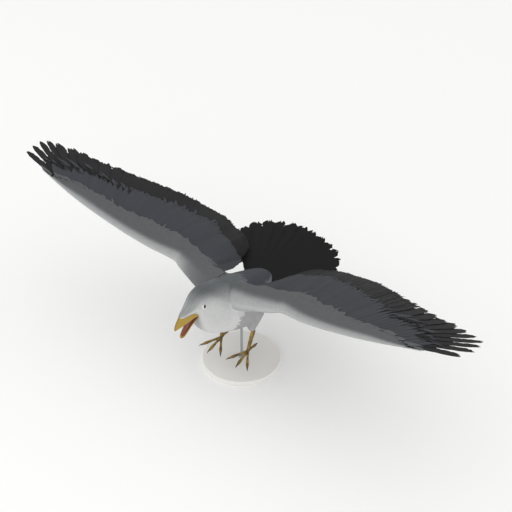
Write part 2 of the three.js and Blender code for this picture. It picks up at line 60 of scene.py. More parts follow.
class Tint(Enum):
    """The bird's own colours, as sRGB hex values."""

    MANTLE = 0x636668
    BREAST = 0xD1D2D1
    # the flank's grey under the wing, partly painted shadow of the wing
    FLANK = 0xA4A3A5
    RUMP = 0x46484E
    PALE_EDGE = 0xB4B5B5
    LIGHT_COVERT = 0x5B5D5F
    MID_COVERT = 0x404146
    FLIGHT = 0x1E1E1F
    FLIGHT_BELOW = 0x4A4B4F
    TAIL = 0x121212
    UNDERWING = 0xB9BABC
    BILL = 0xA7892C
    BILL_BASE = 0xA0823A
    BILL_LOWER = 0xB89941
    MOUTH = 0x8A5042
    # painted light: paler than the mouth, so that the shade deep in the mouth does not darken it
    THROAT = 0xA06050
    TONGUE = 0x8E5A52
    IRIS = 0xDFDFDB
    IRIS_RIM = 0xD2D2CC
    PUPIL = 0x0E0C0C
    LID = 0xD4D5D3
    LEG = 0xBA9848
    LEG_SHADE = 0x4A3612
    CLAW = 0x46371A
    STAND = 0xE9E7E2
    STEEL = 0xB4B7BA
    FLOOR = 0xFAFAF9


def linear(tint: Tint) -> np.ndarray:
    """Turn a colour into linear red, green and blue.

    Args:
        tint: the colour as an sRGB hex value.

    Returns:
        Three numbers from 0 to 1.
    """
    value = tint.value
    srgb = np.array([(value >> shift & 255) / 255 for shift in (16, 8, 0)])
    return np.where(srgb <= 0.04045, srgb / 12.92, ((srgb + 0.055) / 1.055) ** 2.4)


# ---- Small helpers ----


class Curve:
    """A smooth line through a short table of places and values, level past both ends."""

    def __init__(self, *table: tuple[float, float]) -> None:
        """Keep the table and work out the slope at each place.

        Args:
            table: pairs of place and value, in rising order of place.
        """
        self.at, self.value = np.array(table, float).T
        places = np.arange(len(self.at))
        before, after = np.maximum(places - 1, 0), np.minimum(places + 1, places[-1])
        self.slope = (self.value[after] - self.value[before]) / (self.at[after] - self.at[before])

    def __call__(self, place: np.ndarray | float) -> np.ndarray:
        """Read the line.

        Args:
            place: one place or an array of places.

        Returns:
            The value at each place.
        """
        x = np.clip(place, self.at[0], self.at[-1])
        i = np.clip(np.searchsorted(self.at, x, side="right") - 1, 0, len(self.at) - 2)
        h = self.at[i + 1] - self.at[i]
        t = (x - self.at[i]) / h
        s = 1 - t
        ends = self.value[i] * s * s * (1 + 2 * t) + self.value[i + 1] * t * t * (3 - 2 * t)
        return ends + h * t * s * (self.slope[i] * s - self.slope[i + 1] * t)


def mix(a: np.ndarray | float, b: np.ndarray | float, t: np.ndarray | float) -> np.ndarray | float:
    """Blend from a to b by the share t."""
    return a + (b - a) * t


def ease(t: np.ndarray | float) -> np.ndarray | float:
    """Smooth a share so that it starts and ends gently."""
    t = np.clip(t, 0, 1)
    return t * t * (3 - 2 * t)


def unit(v: np.ndarray) -> np.ndarray:
    """Scale vectors to length one."""
    return v / np.maximum(np.linalg.norm(v, axis=-1, keepdims=True), 1e-12)


def read_vertices(obj: bpy.types.Object, what: str = "co") -> np.ndarray:
    """Read three numbers of each of a piece's vertices.

    Args:
        obj: the piece.
        what: "co" for the places in metres, or "normal" for the smooth way out.

    Returns:
        One row for each vertex.
    """
    flat = np.empty(len(obj.data.vertices) * 3, np.float32)
    obj.data.vertices.foreach_get(what, flat)
    return flat.reshape(-1, 3).astype(float)


def place_vertices(obj: bpy.types.Object, points: np.ndarray) -> None:
    """Write a piece's vertices from an array of points in metres."""
    obj.data.vertices.foreach_set("co", points.astype(np.float32).ravel())
    obj.data.update()


def alone(obj: bpy.types.Object, *others: bpy.types.Object) -> None:
    """Select these pieces and nothing else.

    Args:
        obj: the piece that becomes active.
        others: more pieces.
    """
    bpy.ops.object.select_all(action="DESELECT")
    for piece in (obj, *others):
        piece.select_set(True)
    bpy.context.view_layer.objects.active = obj


def join(name: str, parts: Sequence[bpy.types.Object]) -> bpy.types.Object:
    """Make one piece of several.

    Args:
        name: the new piece's name.
        parts: what it is made of.

    Returns:
        The piece.
    """
    alone(*parts)
    bpy.ops.object.join()
    parts[0].name = parts[0].data.name = name
    return parts[0]


def fresh(name: str, primitive: Callable, **settings: object) -> bpy.types.Object:
    """Add one of Blender's own shapes and keep its place in its mesh.

    Args:
        name: the new piece's name.
        primitive: the operator that adds it.
        settings: the operator's own settings.

    Returns:
        The piece.
    """
    bpy.ops.object.select_all(action="DESELECT")
    primitive(**settings)
    obj = bpy.context.object
    obj.name = obj.data.name = name
    bpy.ops.object.transform_apply(location=True, rotation=True, scale=True)
    return obj


def apply_modifier(obj: bpy.types.Object, kind: str, **settings: object) -> None:
    """Add a modifier with settings and apply it.

    Args:
        obj: the piece.
        kind: the modifier's type.
        settings: its values.
    """
    alone(obj)
    modifier = obj.modifiers.new(kind, kind)
    for name, value in settings.items():
        setattr(modifier, name, value)
    bpy.ops.object.modifier_apply(modifier=modifier.name)


def weld(obj: bpy.types.Object) -> None:
    """Merge doubles and turn all faces outwards.

    Args:
        obj: the piece.
    """
    alone(obj)
    bpy.ops.object.mode_set(mode="EDIT")
    bpy.ops.mesh.select_all(action="SELECT")
    bpy.ops.mesh.remove_doubles(threshold=1e-6)
    bpy.ops.mesh.normals_make_consistent(inside=False)
    bpy.ops.object.mode_set(mode="OBJECT")


def loft(
    name: str, rows: int, sides: int, point: Callable[[np.ndarray, np.ndarray], np.ndarray], mirror: int = 1
) -> bpy.types.Object:
    """Shape a grid into a closed tube.

    Args:
        name: the new piece's name.
        rows: how many rows of faces run along it.
        sides: how many faces go round it.
        point: gives points in millimetres for shares along and angles round.
        mirror: -1 to swap left and right.

    Returns:
        The piece, welded along its seam and closed at both ends.
    """
    obj = fresh(name, bpy.ops.mesh.primitive_grid_add, x_subdivisions=rows, y_subdivisions=sides, size=2)
    flat = read_vertices(obj)
    along, turn = (flat[:, 0] + 1) / 2, (flat[:, 1] + 1) * math.pi
    turn[turn > 2 * math.pi - 1e-6] = 0
    points = point(along, turn) * (mirror, 1, 1)
    for end in (0, 1):
        ring = np.abs(along - end) < 1e-6
        points[ring] = points[ring].mean(0)
    place_vertices(obj, points * MM)
    weld(obj)
    return obj


def smooth(obj: bpy.types.Object) -> bpy.types.Object:
    """Shade a piece smooth."""
    obj.data.shade_smooth()
    return obj


def ride(obj: bpy.types.Object, slot: str, *nodes: str) -> bpy.types.Object:
    """Tie a finished piece to the frame.

    Args:
        obj: the piece.
        slot: the record's slot for the piece; not used.
        nodes: the solids that it stands for.

    Returns:
        The same piece.
    """
    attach(obj, ROOT)
    if nodes:
        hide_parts(*nodes)
    return obj


# ---- Finishes ----


class Finish:
    """A material with a principled shader, made once for each finish."""

    def __init__(self, name: str) -> None:
        """Start a material.

        Args:
            name: the real material's name.
        """
        self.material = bpy.data.materials.new(name)
        self.material.use_nodes = True
        self.tree = self.material.node_tree
        self.shader = self.tree.nodes["Principled BSDF"]
        self.where = self.add("TexCoord").outputs["Object"]

    def plug(self, socket: bpy.types.NodeSocket, value: object) -> None:
        """Link an input or give it a value.

        Args:
            socket: the input.
            value: an output, a node that stands for its first output, or the value.
        """
        if isinstance(value, bpy.types.Node):
            value = value.outputs[0]
        if isinstance(value, bpy.types.NodeSocket):
            self.tree.links.new(value, socket)
        else:
            socket.default_value = value

    def add(self, kind: str, *values: object, **named: object) -> bpy.types.Node:
        """Add a node with its settings and links.

        Args:
            kind: the node's type.
            values: what its inputs get, in their order.
            named: the node's own settings, with a small letter, or stops for a ramp's places and tints, and
                what its inputs get, with a capital and _ for a space.

        Returns:
            The new node.
        """
        node = self.tree.nodes.new(f"ShaderNode{kind}")
        stops = named.pop("stops", ())
        for name in [name for name in named if name[0].islower()]:
            setattr(node, name, named.pop(name))
        for key, value in [*enumerate(values), *named.items()]:
            self.plug(node.inputs[key if isinstance(key, int) else key.replace("_", " ")], value)
        if stops:
            elements = node.color_ramp.elements
            while len(elements) < len(stops):
                elements.new(1)
            for element, (place, tint) in zip(elements, stops, strict=True):
                element.position, element.color = place, (*linear(tint), 1)
        return node

    def set(self, **inputs: object) -> None:
        """Set or link the shader's inputs, by name with _ for a space."""
        for name, value in inputs.items():
            self.plug(self.shader.inputs[name.replace("_", " ")], value)

    def on(self, *pieces: bpy.types.Object) -> None:
        """Give pieces this material alone.

        Args:
            pieces: what it goes on.
        """
        for piece in pieces:
            piece.data.materials.clear()
            piece.data.materials.append(self.material)


class Plumage(Finish):
    """Feather: keratin barbs lying side by side, matt, with a faint sheen along them."""

    def __init__(
        self, name: str, barb_pitch: float, roughness: float, barbs: bool = True, parting_shade: bool = False
    ) -> None:
        """Build the finish from the piece's own Marking attribute and its vane map.

        Args:
            name: the material's name.
            barb_pitch: how many barbs cross a vane's length, coarser than real so that they show.
            roughness: of the barbs' surface.
            barbs: false for the bare skin under the coat, which has no vane map.
            parting_shade: true for the body, whose coat parts down the back in a fine line painted dark as
                shade.
        """
        super().__init__(name)
        marking = self.add("Attribute", attribute_name="Marking")
        # down and wear make patches of a few millimetres a little lighter or darker
        patches = self.add("TexNoise", self.where, Scale=90.0, Detail=3.0)
        tone = self.add("MapRange", patches, To_Min=0.97, To_Max=1.03)
        if parting_shade:
            # painted shade in the coat's parting: the line is about 1.5 mm wide and drifts a little to one
            # side towards the head
            place = self.add("SeparateXYZ", self.where).outputs
            drift = self.add("Math", place["Y"], 0.03, place["X"], operation="MULTIPLY_ADD")
            aside = self.add("Math", drift, 0.0019, operation="SUBTRACT")
            gap = self.add("Math", aside, operation="ABSOLUTE")
            crease = self.add("MapRange", gap, From_Min=0.0004, From_Max=0.0016, To_Min=0.8)
            tone = self.add("Math", tone, crease, operation="MULTIPLY")
        if barbs:
            vane = self.add("UVMap", uv_map="Vane")
            place = self.add("SeparateXYZ", vane).outputs
            across = self.add("Math", place["X"], 0.5, operation="SUBTRACT")
            off = self.add("Math", across, operation="ABSOLUTE")
            # barbs leave the shaft and run on towards the tip
            run = self.add("Math", off, -0.55, place["Y"], operation="MULTIPLY_ADD")
            phase = self.add("Math", run, barb_pitch, operation="MULTIPLY")
            wave = self.add("Math", phase, operation="SINE")
            ridge = self.add("MapRange", wave, From_Min=-1.0, To_Min=0.97, To_Max=1.02)
            # the shaft is a hair paler than the vane
            shaft = self.add("MapRange", off, From_Max=0.035, To_Min=1.05)
            vaned = self.add("Math", ridge, shaft, operation="MULTIPLY")
            tone = self.add("Math", tone, vaned, operation="MULTIPLY")
            self.set(Normal=self.add("Bump", Strength=0.25, Distance=0.0002, Height=wave))
        self.set(
            Base_Color=self.add("VectorMath", marking, Scale=tone, operation="SCALE"),
            Roughness=roughness,
            IOR=1.54,
            Specular_IOR_Level=0.12,
            Sheen_Weight=0.01,
            Sheen_Roughness=0.5,
        )


class Horn(Finish):
    """Bill horn: smooth keratin over bone, satin, with faint growth lines along it."""

    def __init__(self) -> None:
        """Build the finish from the piece's own Marking attribute."""
        super().__init__("bill horn")
        marking = self.add("Attribute", attribute_name="Marking")
        # growth lines about a millimetre apart run along the bill
        stretched = self.add("Mapping", self.where, Scale=(900.0, 120.0, 900.0))
        lines = self.add("TexNoise", stretched, Scale=1.0, Detail=4.0)
        tone = self.add("MapRange", lines, To_Min=0.86, To_Max=1.12)
        self.set(
            Base_Color=self.add("VectorMath", marking, Scale=tone, operation="SCALE"),
            Roughness=self.add("MapRange", lines, To_Min=0.32, To_Max=0.48),
            IOR=1.54,
            Normal=self.add("Bump", Strength=0.2, Distance=0.0003, Height=lines),
        )


class Wet(Finish):
    """Mouth lining and tongue: moist skin with a soft gloss and small bumps."""

    def __init__(self, name: str, tint: Tint, deep: Tint, throat_y: float, fade: float = 0.03) -> None:
        """Build the finish.

        Args:
            name: the material's name.
            tint: its colour near the bill's tip.
            deep: its colour at the throat.
            throat_y: where the throat is along Y, in metres.
            fade: over what length the one colour turns into the other, in metres.
        """
        super().__init__(name)
        place = self.add("SeparateXYZ", self.where).outputs
        depth = self.add("MapRange", place["Y"], From_Min=throat_y - fade, From_Max=throat_y)
        bumps = self.add("TexNoise", self.where, Scale=700.0, Detail=2.0)
        self.set(
            Base_Color=self.add("ValToRGB", depth, stops=((0, tint), (1, deep))),
            Roughness=0.35,
            IOR=1.4,
            Normal=self.add("Bump", Strength=0.3, Distance=0.0004, Height=bumps),
        )


class EyeGlass(Finish):
    """A bird's eye: a wet ball with a pale iris and a round black pupil on its outer side."""

    def __init__(self, centre: np.ndarray, gaze: np.ndarray, pupil: float, iris: float) -> None:
        """Build the finish.

        Args:
            centre: the left eye's middle, in metres.
            gaze: which way the left eye looks, of length one.
            pupil: the pupil's radius, in metres.
            iris: the iris's radius, in metres.
        """
        super().__init__("eye")
        # both eyes fold onto the left one, and the distance is taken from the line that it looks along
        folded = self.add("VectorMath", self.where, operation="ABSOLUTE")
        own, left = self.add("SeparateXYZ", self.where).outputs, self.add("SeparateXYZ", folded).outputs
        place = self.add("CombineXYZ", left["X"], own["Y"], own["Z"])
        off = self.add("VectorMath", place, tuple(centre), operation="SUBTRACT")
        turned = self.add("VectorMath", off, tuple(gaze), operation="CROSS_PRODUCT")
        away = self.add("VectorMath", turned, operation="LENGTH").outputs["Value"]
        share = self.add("MapRange", away, From_Max=iris)
        edge = pupil / iris
        stops = (
            (0, Tint.PUPIL), (edge - 0.02, Tint.PUPIL), (edge + 0.03, Tint.IRIS), (0.9, Tint.IRIS),
            (1, Tint.IRIS_RIM),
        )
        colour = self.add("ValToRGB", share, stops=stops)
        self.set(Base_Color=colour, Roughness=0.12, IOR=1.376, Coat_Weight=0.08, Coat_Roughness=0.03)


class LegSkin(Finish):
    """Leg skin: horny plates and small scales, dull, darker in the creases."""

    def __init__(self) -> None:
        """Build the finish."""
        super().__init__("scaly leg skin")
        # small scales are about 1.6 mm across
        scales = self.add("TexVoronoi", self.where, Scale=620.0, feature="DISTANCE_TO_EDGE")
        crease = self.add("MapRange", scales, From_Max=0.18)
        dark = self.add("MapRange", crease, To_Min=0.55)
        blotch = self.add("TexNoise", self.where, Scale=60.0, Detail=4.0)
        base = self.add("ValToRGB", blotch, stops=((0.3, Tint.LEG_SHADE), (0.62, Tint.LEG)))
        # the undersides are painted darker than the tops, as painted shade, and the feet are darker low down
        # at the toes than up the shanks
        facing = self.add("SeparateXYZ", self.add("NewGeometry").outputs["Normal"]).outputs["Z"]
        underside_shade = self.add("MapRange", facing, From_Min=-0.6, From_Max=0.5, To_Min=0.25)
        height = self.add("SeparateXYZ", self.where).outputs["Z"]
        low = self.add("MapRange", height, From_Min=0.07, From_Max=0.12, To_Min=0.8, To_Max=1.25)
        both = self.add("Math", underside_shade, low, operation="MULTIPLY")
        creased = self.add("VectorMath", base, Scale=dark, operation="SCALE")
        self.set(
            Base_Color=self.add("VectorMath", creased, Scale=both, operation="SCALE"),
            Roughness=0.55,
            IOR=1.5,
            Normal=self.add("Bump", Strength=0.5, Distance=0.0004, Height=crease),
        )


class Plain(Finish):
    """A surface of one colour with fine grain: claws, lids, paint and floor."""

    def __init__(
        self, name: str, tint: Tint, roughness: float, grain: float, depth: float, metallic: float = 0.0
    ) -> None:
        """Build the finish.

        Args:
            name: the material's name.
            tint: its colour.
            roughness: of its surface.
            grain: how many grains there are to a metre.
            depth: the grain's depth in metres.
            metallic: 1 for bare metal.
        """
        super().__init__(name)
        noise = self.add("TexNoise", self.where, Scale=grain, Detail=3.0)
        tone = self.add("MapRange", noise, To_Min=0.94, To_Max=1.06)
        self.set(
            Base_Color=self.add("VectorMath", tuple(linear(tint)), Scale=tone, operation="SCALE"),
            Roughness=roughness,
            Metallic=metallic,
            Normal=self.add("Bump", Strength=0.3, Distance=depth, Height=noise),
        )


# ---- The bird's own forms ----


@dataclass
class BodyForm:
    """Head, neck and trunk as one form: heights and half widths along Y, beak end first."""

    back: Curve = Curve(
        (-244, 301), (-230, 309.5), (-212, 318.5), (-195, 330.5), (-175, 341), (-148, 340), (-110, 328),
        (-62, 311), (-18, 296), (40, 274), (80, 257), (98, 248), (109, 238), (116, 228),
    )
    under: Curve = Curve(
        (-244, 296), (-230, 289.5), (-212, 289.5), (-198, 286), (-190, 277), (-183, 255), (-176, 230),
        (-160, 208), (-138, 186), (-110, 170), (-75, 155), (-30, 138), (10, 137), (50, 155), (85, 190),
        (116, 219),
    )
    half_width: Curve = Curve(
        (-244, 5), (-230, 11), (-212, 17), (-195, 22.5), (-175, 29), (-150, 36), (-120, 46), (-90, 55),
        (-50, 62), (-10, 61), (35, 53), (75, 41), (98, 28), (109, 20), (116, 13),
    )
    # how far the skin swells, or is drawn in, between the crown and the cheek
    brow: Curve = Curve(
        (-238, 0), (-214, -4), (-195, -1.5), (-180, 2.5), (-160, 4.2), (-142, 5.8), (-125, 3.6), (-105, 0.6),
        (-90, 0),
    )
    front: float = -244
    rear: float = 116
    squareness: float = 0.94

    def point(self, y: np.ndarray, angle: np.ndarray, sink: float = 0.0) -> np.ndarray:
        """Find points on the form.

        Args:
            y: places along Y.
            angle: angles round the form, 0 on the left side and a quarter turn at the top.
            sink: how far under the surface.

        Returns:
            Points in millimetres.
        """
        top, bottom = self.back(y) - sink, self.under(y) + sink
        side, up = np.cos(angle), np.sin(angle)
        swell = self.brow(y) * np.maximum(0, 2 * up * np.abs(side)) ** 1.5
        x = np.sign(side) * ((self.half_width(y) - sink) * np.abs(side) ** self.squareness + 0.85 * swell)
        return np.stack([x, y + 0 * x, (top + bottom) / 2 + (top - bottom) / 2 * up + 0.5 * swell], -1)


@dataclass
class WingForm:
    """The left wing in plan and height, by distance out from the midline."""

    edge_y: Curve = Curve(
        (30, -104), (60, -99), (90, -90), (120, -80), (150, -70), (173, -63), (250, -84), (338, -101),
        (460, -113), (582, -104), (645, -90), (700, -66),
    )
    edge_z: Curve = Curve(
        (40, 279), (120, 282), (150, 286), (173, 293), (250, 316), (338, 345), (460, 384), (582, 415),
        (645, 424), (700, 430),
    )
    trail_y: Curve = Curve(
        (72, 86), (77, 112), (86, 136), (98, 150), (118, 163), (145, 172), (200, 180), (245, 177), (295, 167),
        (340, 152), (395, 127), (445, 103), (495, 86), (545, 62), (595, 42), (645, 28), (700, 0),
    )
    slope: Curve = Curve(
        (40, -0.17), (80, -0.12), (120, -0.07), (180, -0.065), (260, -0.09), (340, -0.09), (420, -0.11),
        (541, -0.15), (645, -0.15), (700, -0.12),
    )
    camber: Curve = Curve(
        (40, 38), (110, 30), (173, 26), (260, 20), (338, 13), (460, 8), (582, 3), (700, 0.5),
    )
    camber_peak: float = 0.33
    root_fall: Curve = Curve((45, 1), (115, 0))
    arm_rear: Curve = Curve(
        (30, -4), (70, -2), (110, -4), (180, -4), (264, -20), (328, -38), (416, -44), (500, -62), (560, -82),
        (590, -92),
    )
    arm_rear_thick: Curve = Curve(
        (30, 14), (110, 11), (173, 10), (338, 9), (460, 7.5), (590, 3.5),
    )
    arm_belly: Curve = Curve(
        (30, 34), (60, 32), (85, 24), (115, 16), (173, 11), (260, 9), (338, 8), (460, 5.5), (590, 2),
    )
    arm_ends: tuple[float, float] = (22, 590)
    tip: float = 640
    # where the light coverts end, where the middle grey ones end
    median_end: Curve = Curve(
        (50, -20), (70, -30), (95, -24), (120, -15), (145, -6), (170, 0), (195, 3), (220, -1), (245, -7),
        (270, -14), (295, -20), (320, -28), (345, -38), (370, -43), (420, -50), (470, -59), (500, -65),
        (540, -80), (582, -96),
    )
    greater_end: Curve = Curve(
        (60, 66), (80, 88), (120, 99), (170, 120), (197, 130), (245, 116), (295, 105), (345, 77), (395, 58),
        (445, 28), (495, 17), (545, 4), (612, -56),
    )
    # the way that feathers lie, as an angle from straight back towards the wing's tip
    lie: Curve = Curve(
        (30, -0.05), (166, -0.13), (260, 0.2), (341, 0.53), (430, 0.98), (512, 1.36), (600, 1.5),
    )

    def skin(self, x: np.ndarray, y: np.ndarray) -> np.ndarray:
        """Find the height of the wing's upper skin.

        Args:
            x: distances out.
            y: places along Y.

        Returns:
            Heights in millimetres.
        """
        back = y - self.edge_y(x)
        q = np.clip(back / (self.trail_y(x) - self.edge_y(x)), 0, 1.1)
        peak = self.camber_peak
        fore = q < peak
        away = np.where(fore, (peak - q) / peak, (q - peak) / (1 - peak))
        rear = mix(1 - away * away, np.maximum(0, 1 - away) ** 2.2, self.root_fall(x))
        bump = np.where(fore, np.sqrt(np.maximum(0, 1 - away * away)), rear)
        return self.edge_z(x) + self.slope(x) * back + self.camber(x) * bump

    def under(self, x: np.ndarray, y: np.ndarray) -> np.ndarray:
        """Find the height of the wing's under skin.

        Args:
            x: distances out.
            y: places along Y.

        Returns:
            Heights in millimetres.
        """
        front = self.edge_y(x)
        p = (y - front) / (self.arm_rear(x) - front)
        nose = np.clip(p / 0.35, 0, 1)
        bulge = self.arm_belly(x) * np.sqrt(1 - (1 - nose) ** 2)
        belly = self.edge_z(x) + self.slope(x) * (y - front) - bulge
        top = self.skin(x, y)
        thick = mix(self.arm_rear_thick(x), 4.5, ease((p - 1) / 0.5))
        return np.minimum(mix(belly, top - thick, ease((p - 0.35) / 0.65)), top - 0.5)

    def section(self, x: np.ndarray, angle: np.ndarray, rear: Curve, sink: float) -> np.ndarray:
        """Find points round the wing's section.

        Args:
            x: distances out.
            angle: angles round, 0 at the rear edge and half a turn at the leading edge.
            rear: where the section ends behind.
            sink: how far under the surface.

        Returns:
            Points in millimetres.
        """
        p = (1 + np.cos(angle)) / 2
        y = mix(self.edge_y(x), rear(x), p)
        top, bottom = self.skin(x, y), self.under(x, y)
        height = np.where(np.sin(angle) >= 0, top - sink, bottom + sink)
        blunt = np.clip((p - 0.96) / 0.04, 0, 1) ** 2
        return np.stack([x + 0 * y, y - sink * np.cos(angle), mix(height, (top + bottom) / 2, blunt)], -1)


BODY = BodyForm()
WING = WingForm()


@dataclass
class LegForm:
    """The left leg: a feathered thigh down to the hock, a bare shank and four toes."""

    thigh: tuple = (
        (27, 21, 214, 19), (39, 11, 187, 25), (40, 4, 166, 20), (43.5, -10, 148, 14.5), (48, -11, 133, 7.4),
    )
    hock: tuple = (48, -11, 133)
    sole: tuple = (45, -30, 75)
    shank_radius: float = 5.1
    toes: tuple = ((9, -78, 59.3, 4), (48, -86, 57.3, 4.3), (82, -79, 59.6, 4.1), (47, 10, 78, 3.8))
    toe_shape: tuple = (1, 0.84, 0.72, 0.84, 1, 0.6, 0.12)
    toe_lift: tuple = (0, 0.9, 1.4, 1, 0.6, 0.2, -1.8)


LEG = LegForm()


def limb(points: np.ndarray, radii: np.ndarray) -> Callable[[np.ndarray, np.ndarray], np.ndarray]:
    """Make the point function of a round, tapering limb.

    Args:
        points: the places that it runs through, in millimetres.
        radii: its radius at each.

    Returns:
        A function of shares along and angles round.
    """
    knots = np.linspace(0, 1, len(points))
    lines = [Curve(*zip(knots, axis)) for axis in np.array(points, float).T]
    size = Curve(*zip(knots, radii))

    def point(along: np.ndarray, angle: np.ndarray) -> np.ndarray:
        """Find points on the limb's skin.

        Args:
            along: shares along the limb.
            angle: angles round it.

        Returns:
            Points in millimetres.
        """
        centre, behind, ahead = (
            np.stack([line(place) for line in lines], -1)
            for place in (along, np.maximum(along - 0.01, 0), np.minimum(along + 0.01, 1))
        )
        tangent = unit(ahead - behind)
        across = np.array([1.0, 0, 0])
        side = unit(across - (tangent @ across)[..., None] * tangent)
        up = np.cross(tangent, side)
        r = size(along)[..., None]
        return centre + r * np.cos(angle)[..., None] * side + r * np.sin(angle)[..., None] * up

    return point


def middle(skin: Callable[[np.ndarray, np.ndarray], np.ndarray], along: np.ndarray) -> np.ndarray:
    """Find the middle of a limb, between two opposite points of its skin."""
    return skin(along, along * 0) * 0.5 + skin(along, along * 0 + np.pi) * 0.5


# ---- Markings ----

# how dark the coat is by how far the surface faces up, and how that fades towards the bill
SHADE = Curve(
    (-0.45, 0), (-0.3, 0.06), (-0.22, 0.1), (-0.07, 0.15), (0.05, 0.21), (0.15, 0.3), (0.25, 0.38),
    (0.35, 0.53), (0.45, 0.67), (0.55, 0.8), (0.65, 0.87), (0.75, 0.95), (0.85, 1.02), (0.96, 1.05),
)
HOOD = Curve(
    (-228, 0.67), (-214, 0.68), (-201, 0.81), (-188, 0.88), (-176, 0.95), (-160, 0.98), (-120, 0.97),
    (-95, 1.03), (-70, 0.98),
)
# the dark back is narrower at the shoulders than on the nape, and the throat's middle is painted darker as
# the shadow under the bill
NARROWER = Curve((-140, 0), (-128, 0.01), (-112, 0.08), (-96, 0.13), (-84, 0.08), (-70, 0))
THROAT_BILL_SHADOW = Curve((-190, 0.5), (-180, 0.47), (-172, 0.34), (-160, 0.15), (-144, 0.05), (-125, 0))
THROAT_SHADOW_WIDE = 24.0
# the shade stays back from the fold between trunk and wing
VALLEY = Curve((32, 0), (40, 0.13), (54, 0.13), (60, 0))
BY_THE_WING = Curve((-112, 0), (-102, 1), (-72, 1), (-60, 0))
# where the dusky flank starts by height, and where the rump does, over a low edge that fades; the flank under
# the wing is partly painted shadow of the wing
FLANK_SHADOW_FRONT = Curve((150, -96), (185, -92), (205, -87), (218, -83), (231, -71), (250, -66))
RUMP_FRONT = -14.0
RUMP_LOW = 214.0


def shade_marking(x: np.ndarray, y: np.ndarray, facing: np.ndarray) -> np.ndarray:
    """Colour the coat between the dark back and the pale breast.

    Args:
        x: places along X in millimetres.
        y: places along Y.
        facing: how far the surface faces up, from -1 to 1.

    Returns:
        Linear colours.
    """
    dark = SHADE(facing - NARROWER(y)) * HOOD(y)
    # painted shadow of the bill on the middle of the throat, where the surface faces down
    dark = dark + THROAT_BILL_SHADOW(y) * ease(-facing / 0.3) * ease((THROAT_SHADOW_WIDE - np.abs(x)) / 16)
    return mix(linear(Tint.BREAST), linear(Tint.MANTLE), dark[:, None])


def body_marking(points: np.ndarray, normals: np.ndarray, jitter: np.ndarray | float = 0.0) -> np.ndarray:
    """Colour the body: dark above, pale below, with a grey rump and a dusky flank.

    Args:
        points: places in millimetres.
        normals: which way the surface faces there.
        jitter: how far a feather's edge moves a marking's border, in millimetres.

    Returns:
        Linear colours.
    """
    x, y, z = points.T
    facing = normals[:, 2] - VALLEY(np.abs(x)) * BY_THE_WING(y)
    # the flank under the wing is painted grey, partly as painted shadow of the wing
    flank_and_shadow = (ease((y + jitter - FLANK_SHADOW_FRONT(z)) / 3) * (1 - ease((facing - 0.45) / 0.3)))[:, None]
    colour = mix(shade_marking(x, y, facing), linear(Tint.FLANK), flank_and_shadow)
    high = ease((z - RUMP_LOW) / 12) * ease((facing - 0.12) / 0.3)
    # the rump's lower side, facing down and out, is painted paler: a painted highlight
    side = ease((0.64 - facing) / 0.2) * ease((y - 28) / 14)
    rump = (ease((y + jitter - RUMP_FRONT + 0.5 * np.abs(x)) / 3) * high * (1 - 0.4 * side))[:, None]
    return mix(colour, linear(Tint.RUMP), rump)


# how far back from the leading edge the pale band reaches, and how it fades over that reach
PALE_REACH = Curve(
    (40, 1), (130, 0.95), (160, 0.75), (200, 0.62), (450, 0.6), (500, 0.4), (550, 0.2), (600, 0.15),
)
PALE = Curve((0, 1), (3, 0.84), (8, 0.74), (14, 0.64), (20, 0.47), (25, 0.28), (30, 0.11), (38, 0))
# the body's own shading ends here over the wing's root, and the wing's takes over within this much more
SHOULDER = 24.0
SHOULDER_FADE = 16.0
# the right wing's pale edge is painted dusky near the body, as painted shade
RIGHT_PALE_UNDER_SHADE = Curve((56, 0.1), (92, 0.2), (116, 0.35), (128, 0.5), (140, 0.72), (152, 0.87), (168, 1))


def wing_marking(x: np.ndarray, y: np.ndarray, facing: np.ndarray) -> np.ndarray:
    """Colour the light coverts, which fade to pale at the leading edge and into the body at the shoulder.

    Args:
        x: places along X in millimetres, negative on the right wing.
        y: places along Y.
        facing: how far the surface faces up.

    Returns:
        Linear colours.
    """
    out = np.abs(x)
    # on the right wing the pale edge near the body is painted darker: painted shade
    pale = PALE((y - WING.edge_y(out)) / PALE_REACH(out)) * np.where(x < 0, RIGHT_PALE_UNDER_SHADE(out), 1)
    colour = mix(linear(Tint.LIGHT_COVERT), linear(Tint.PALE_EDGE), pale[:, None])
    return mix(shade_marking(x, y, facing), colour, ease((out - SHOULDER) / SHOULDER_FADE)[:, None])


# ---- Skin ----


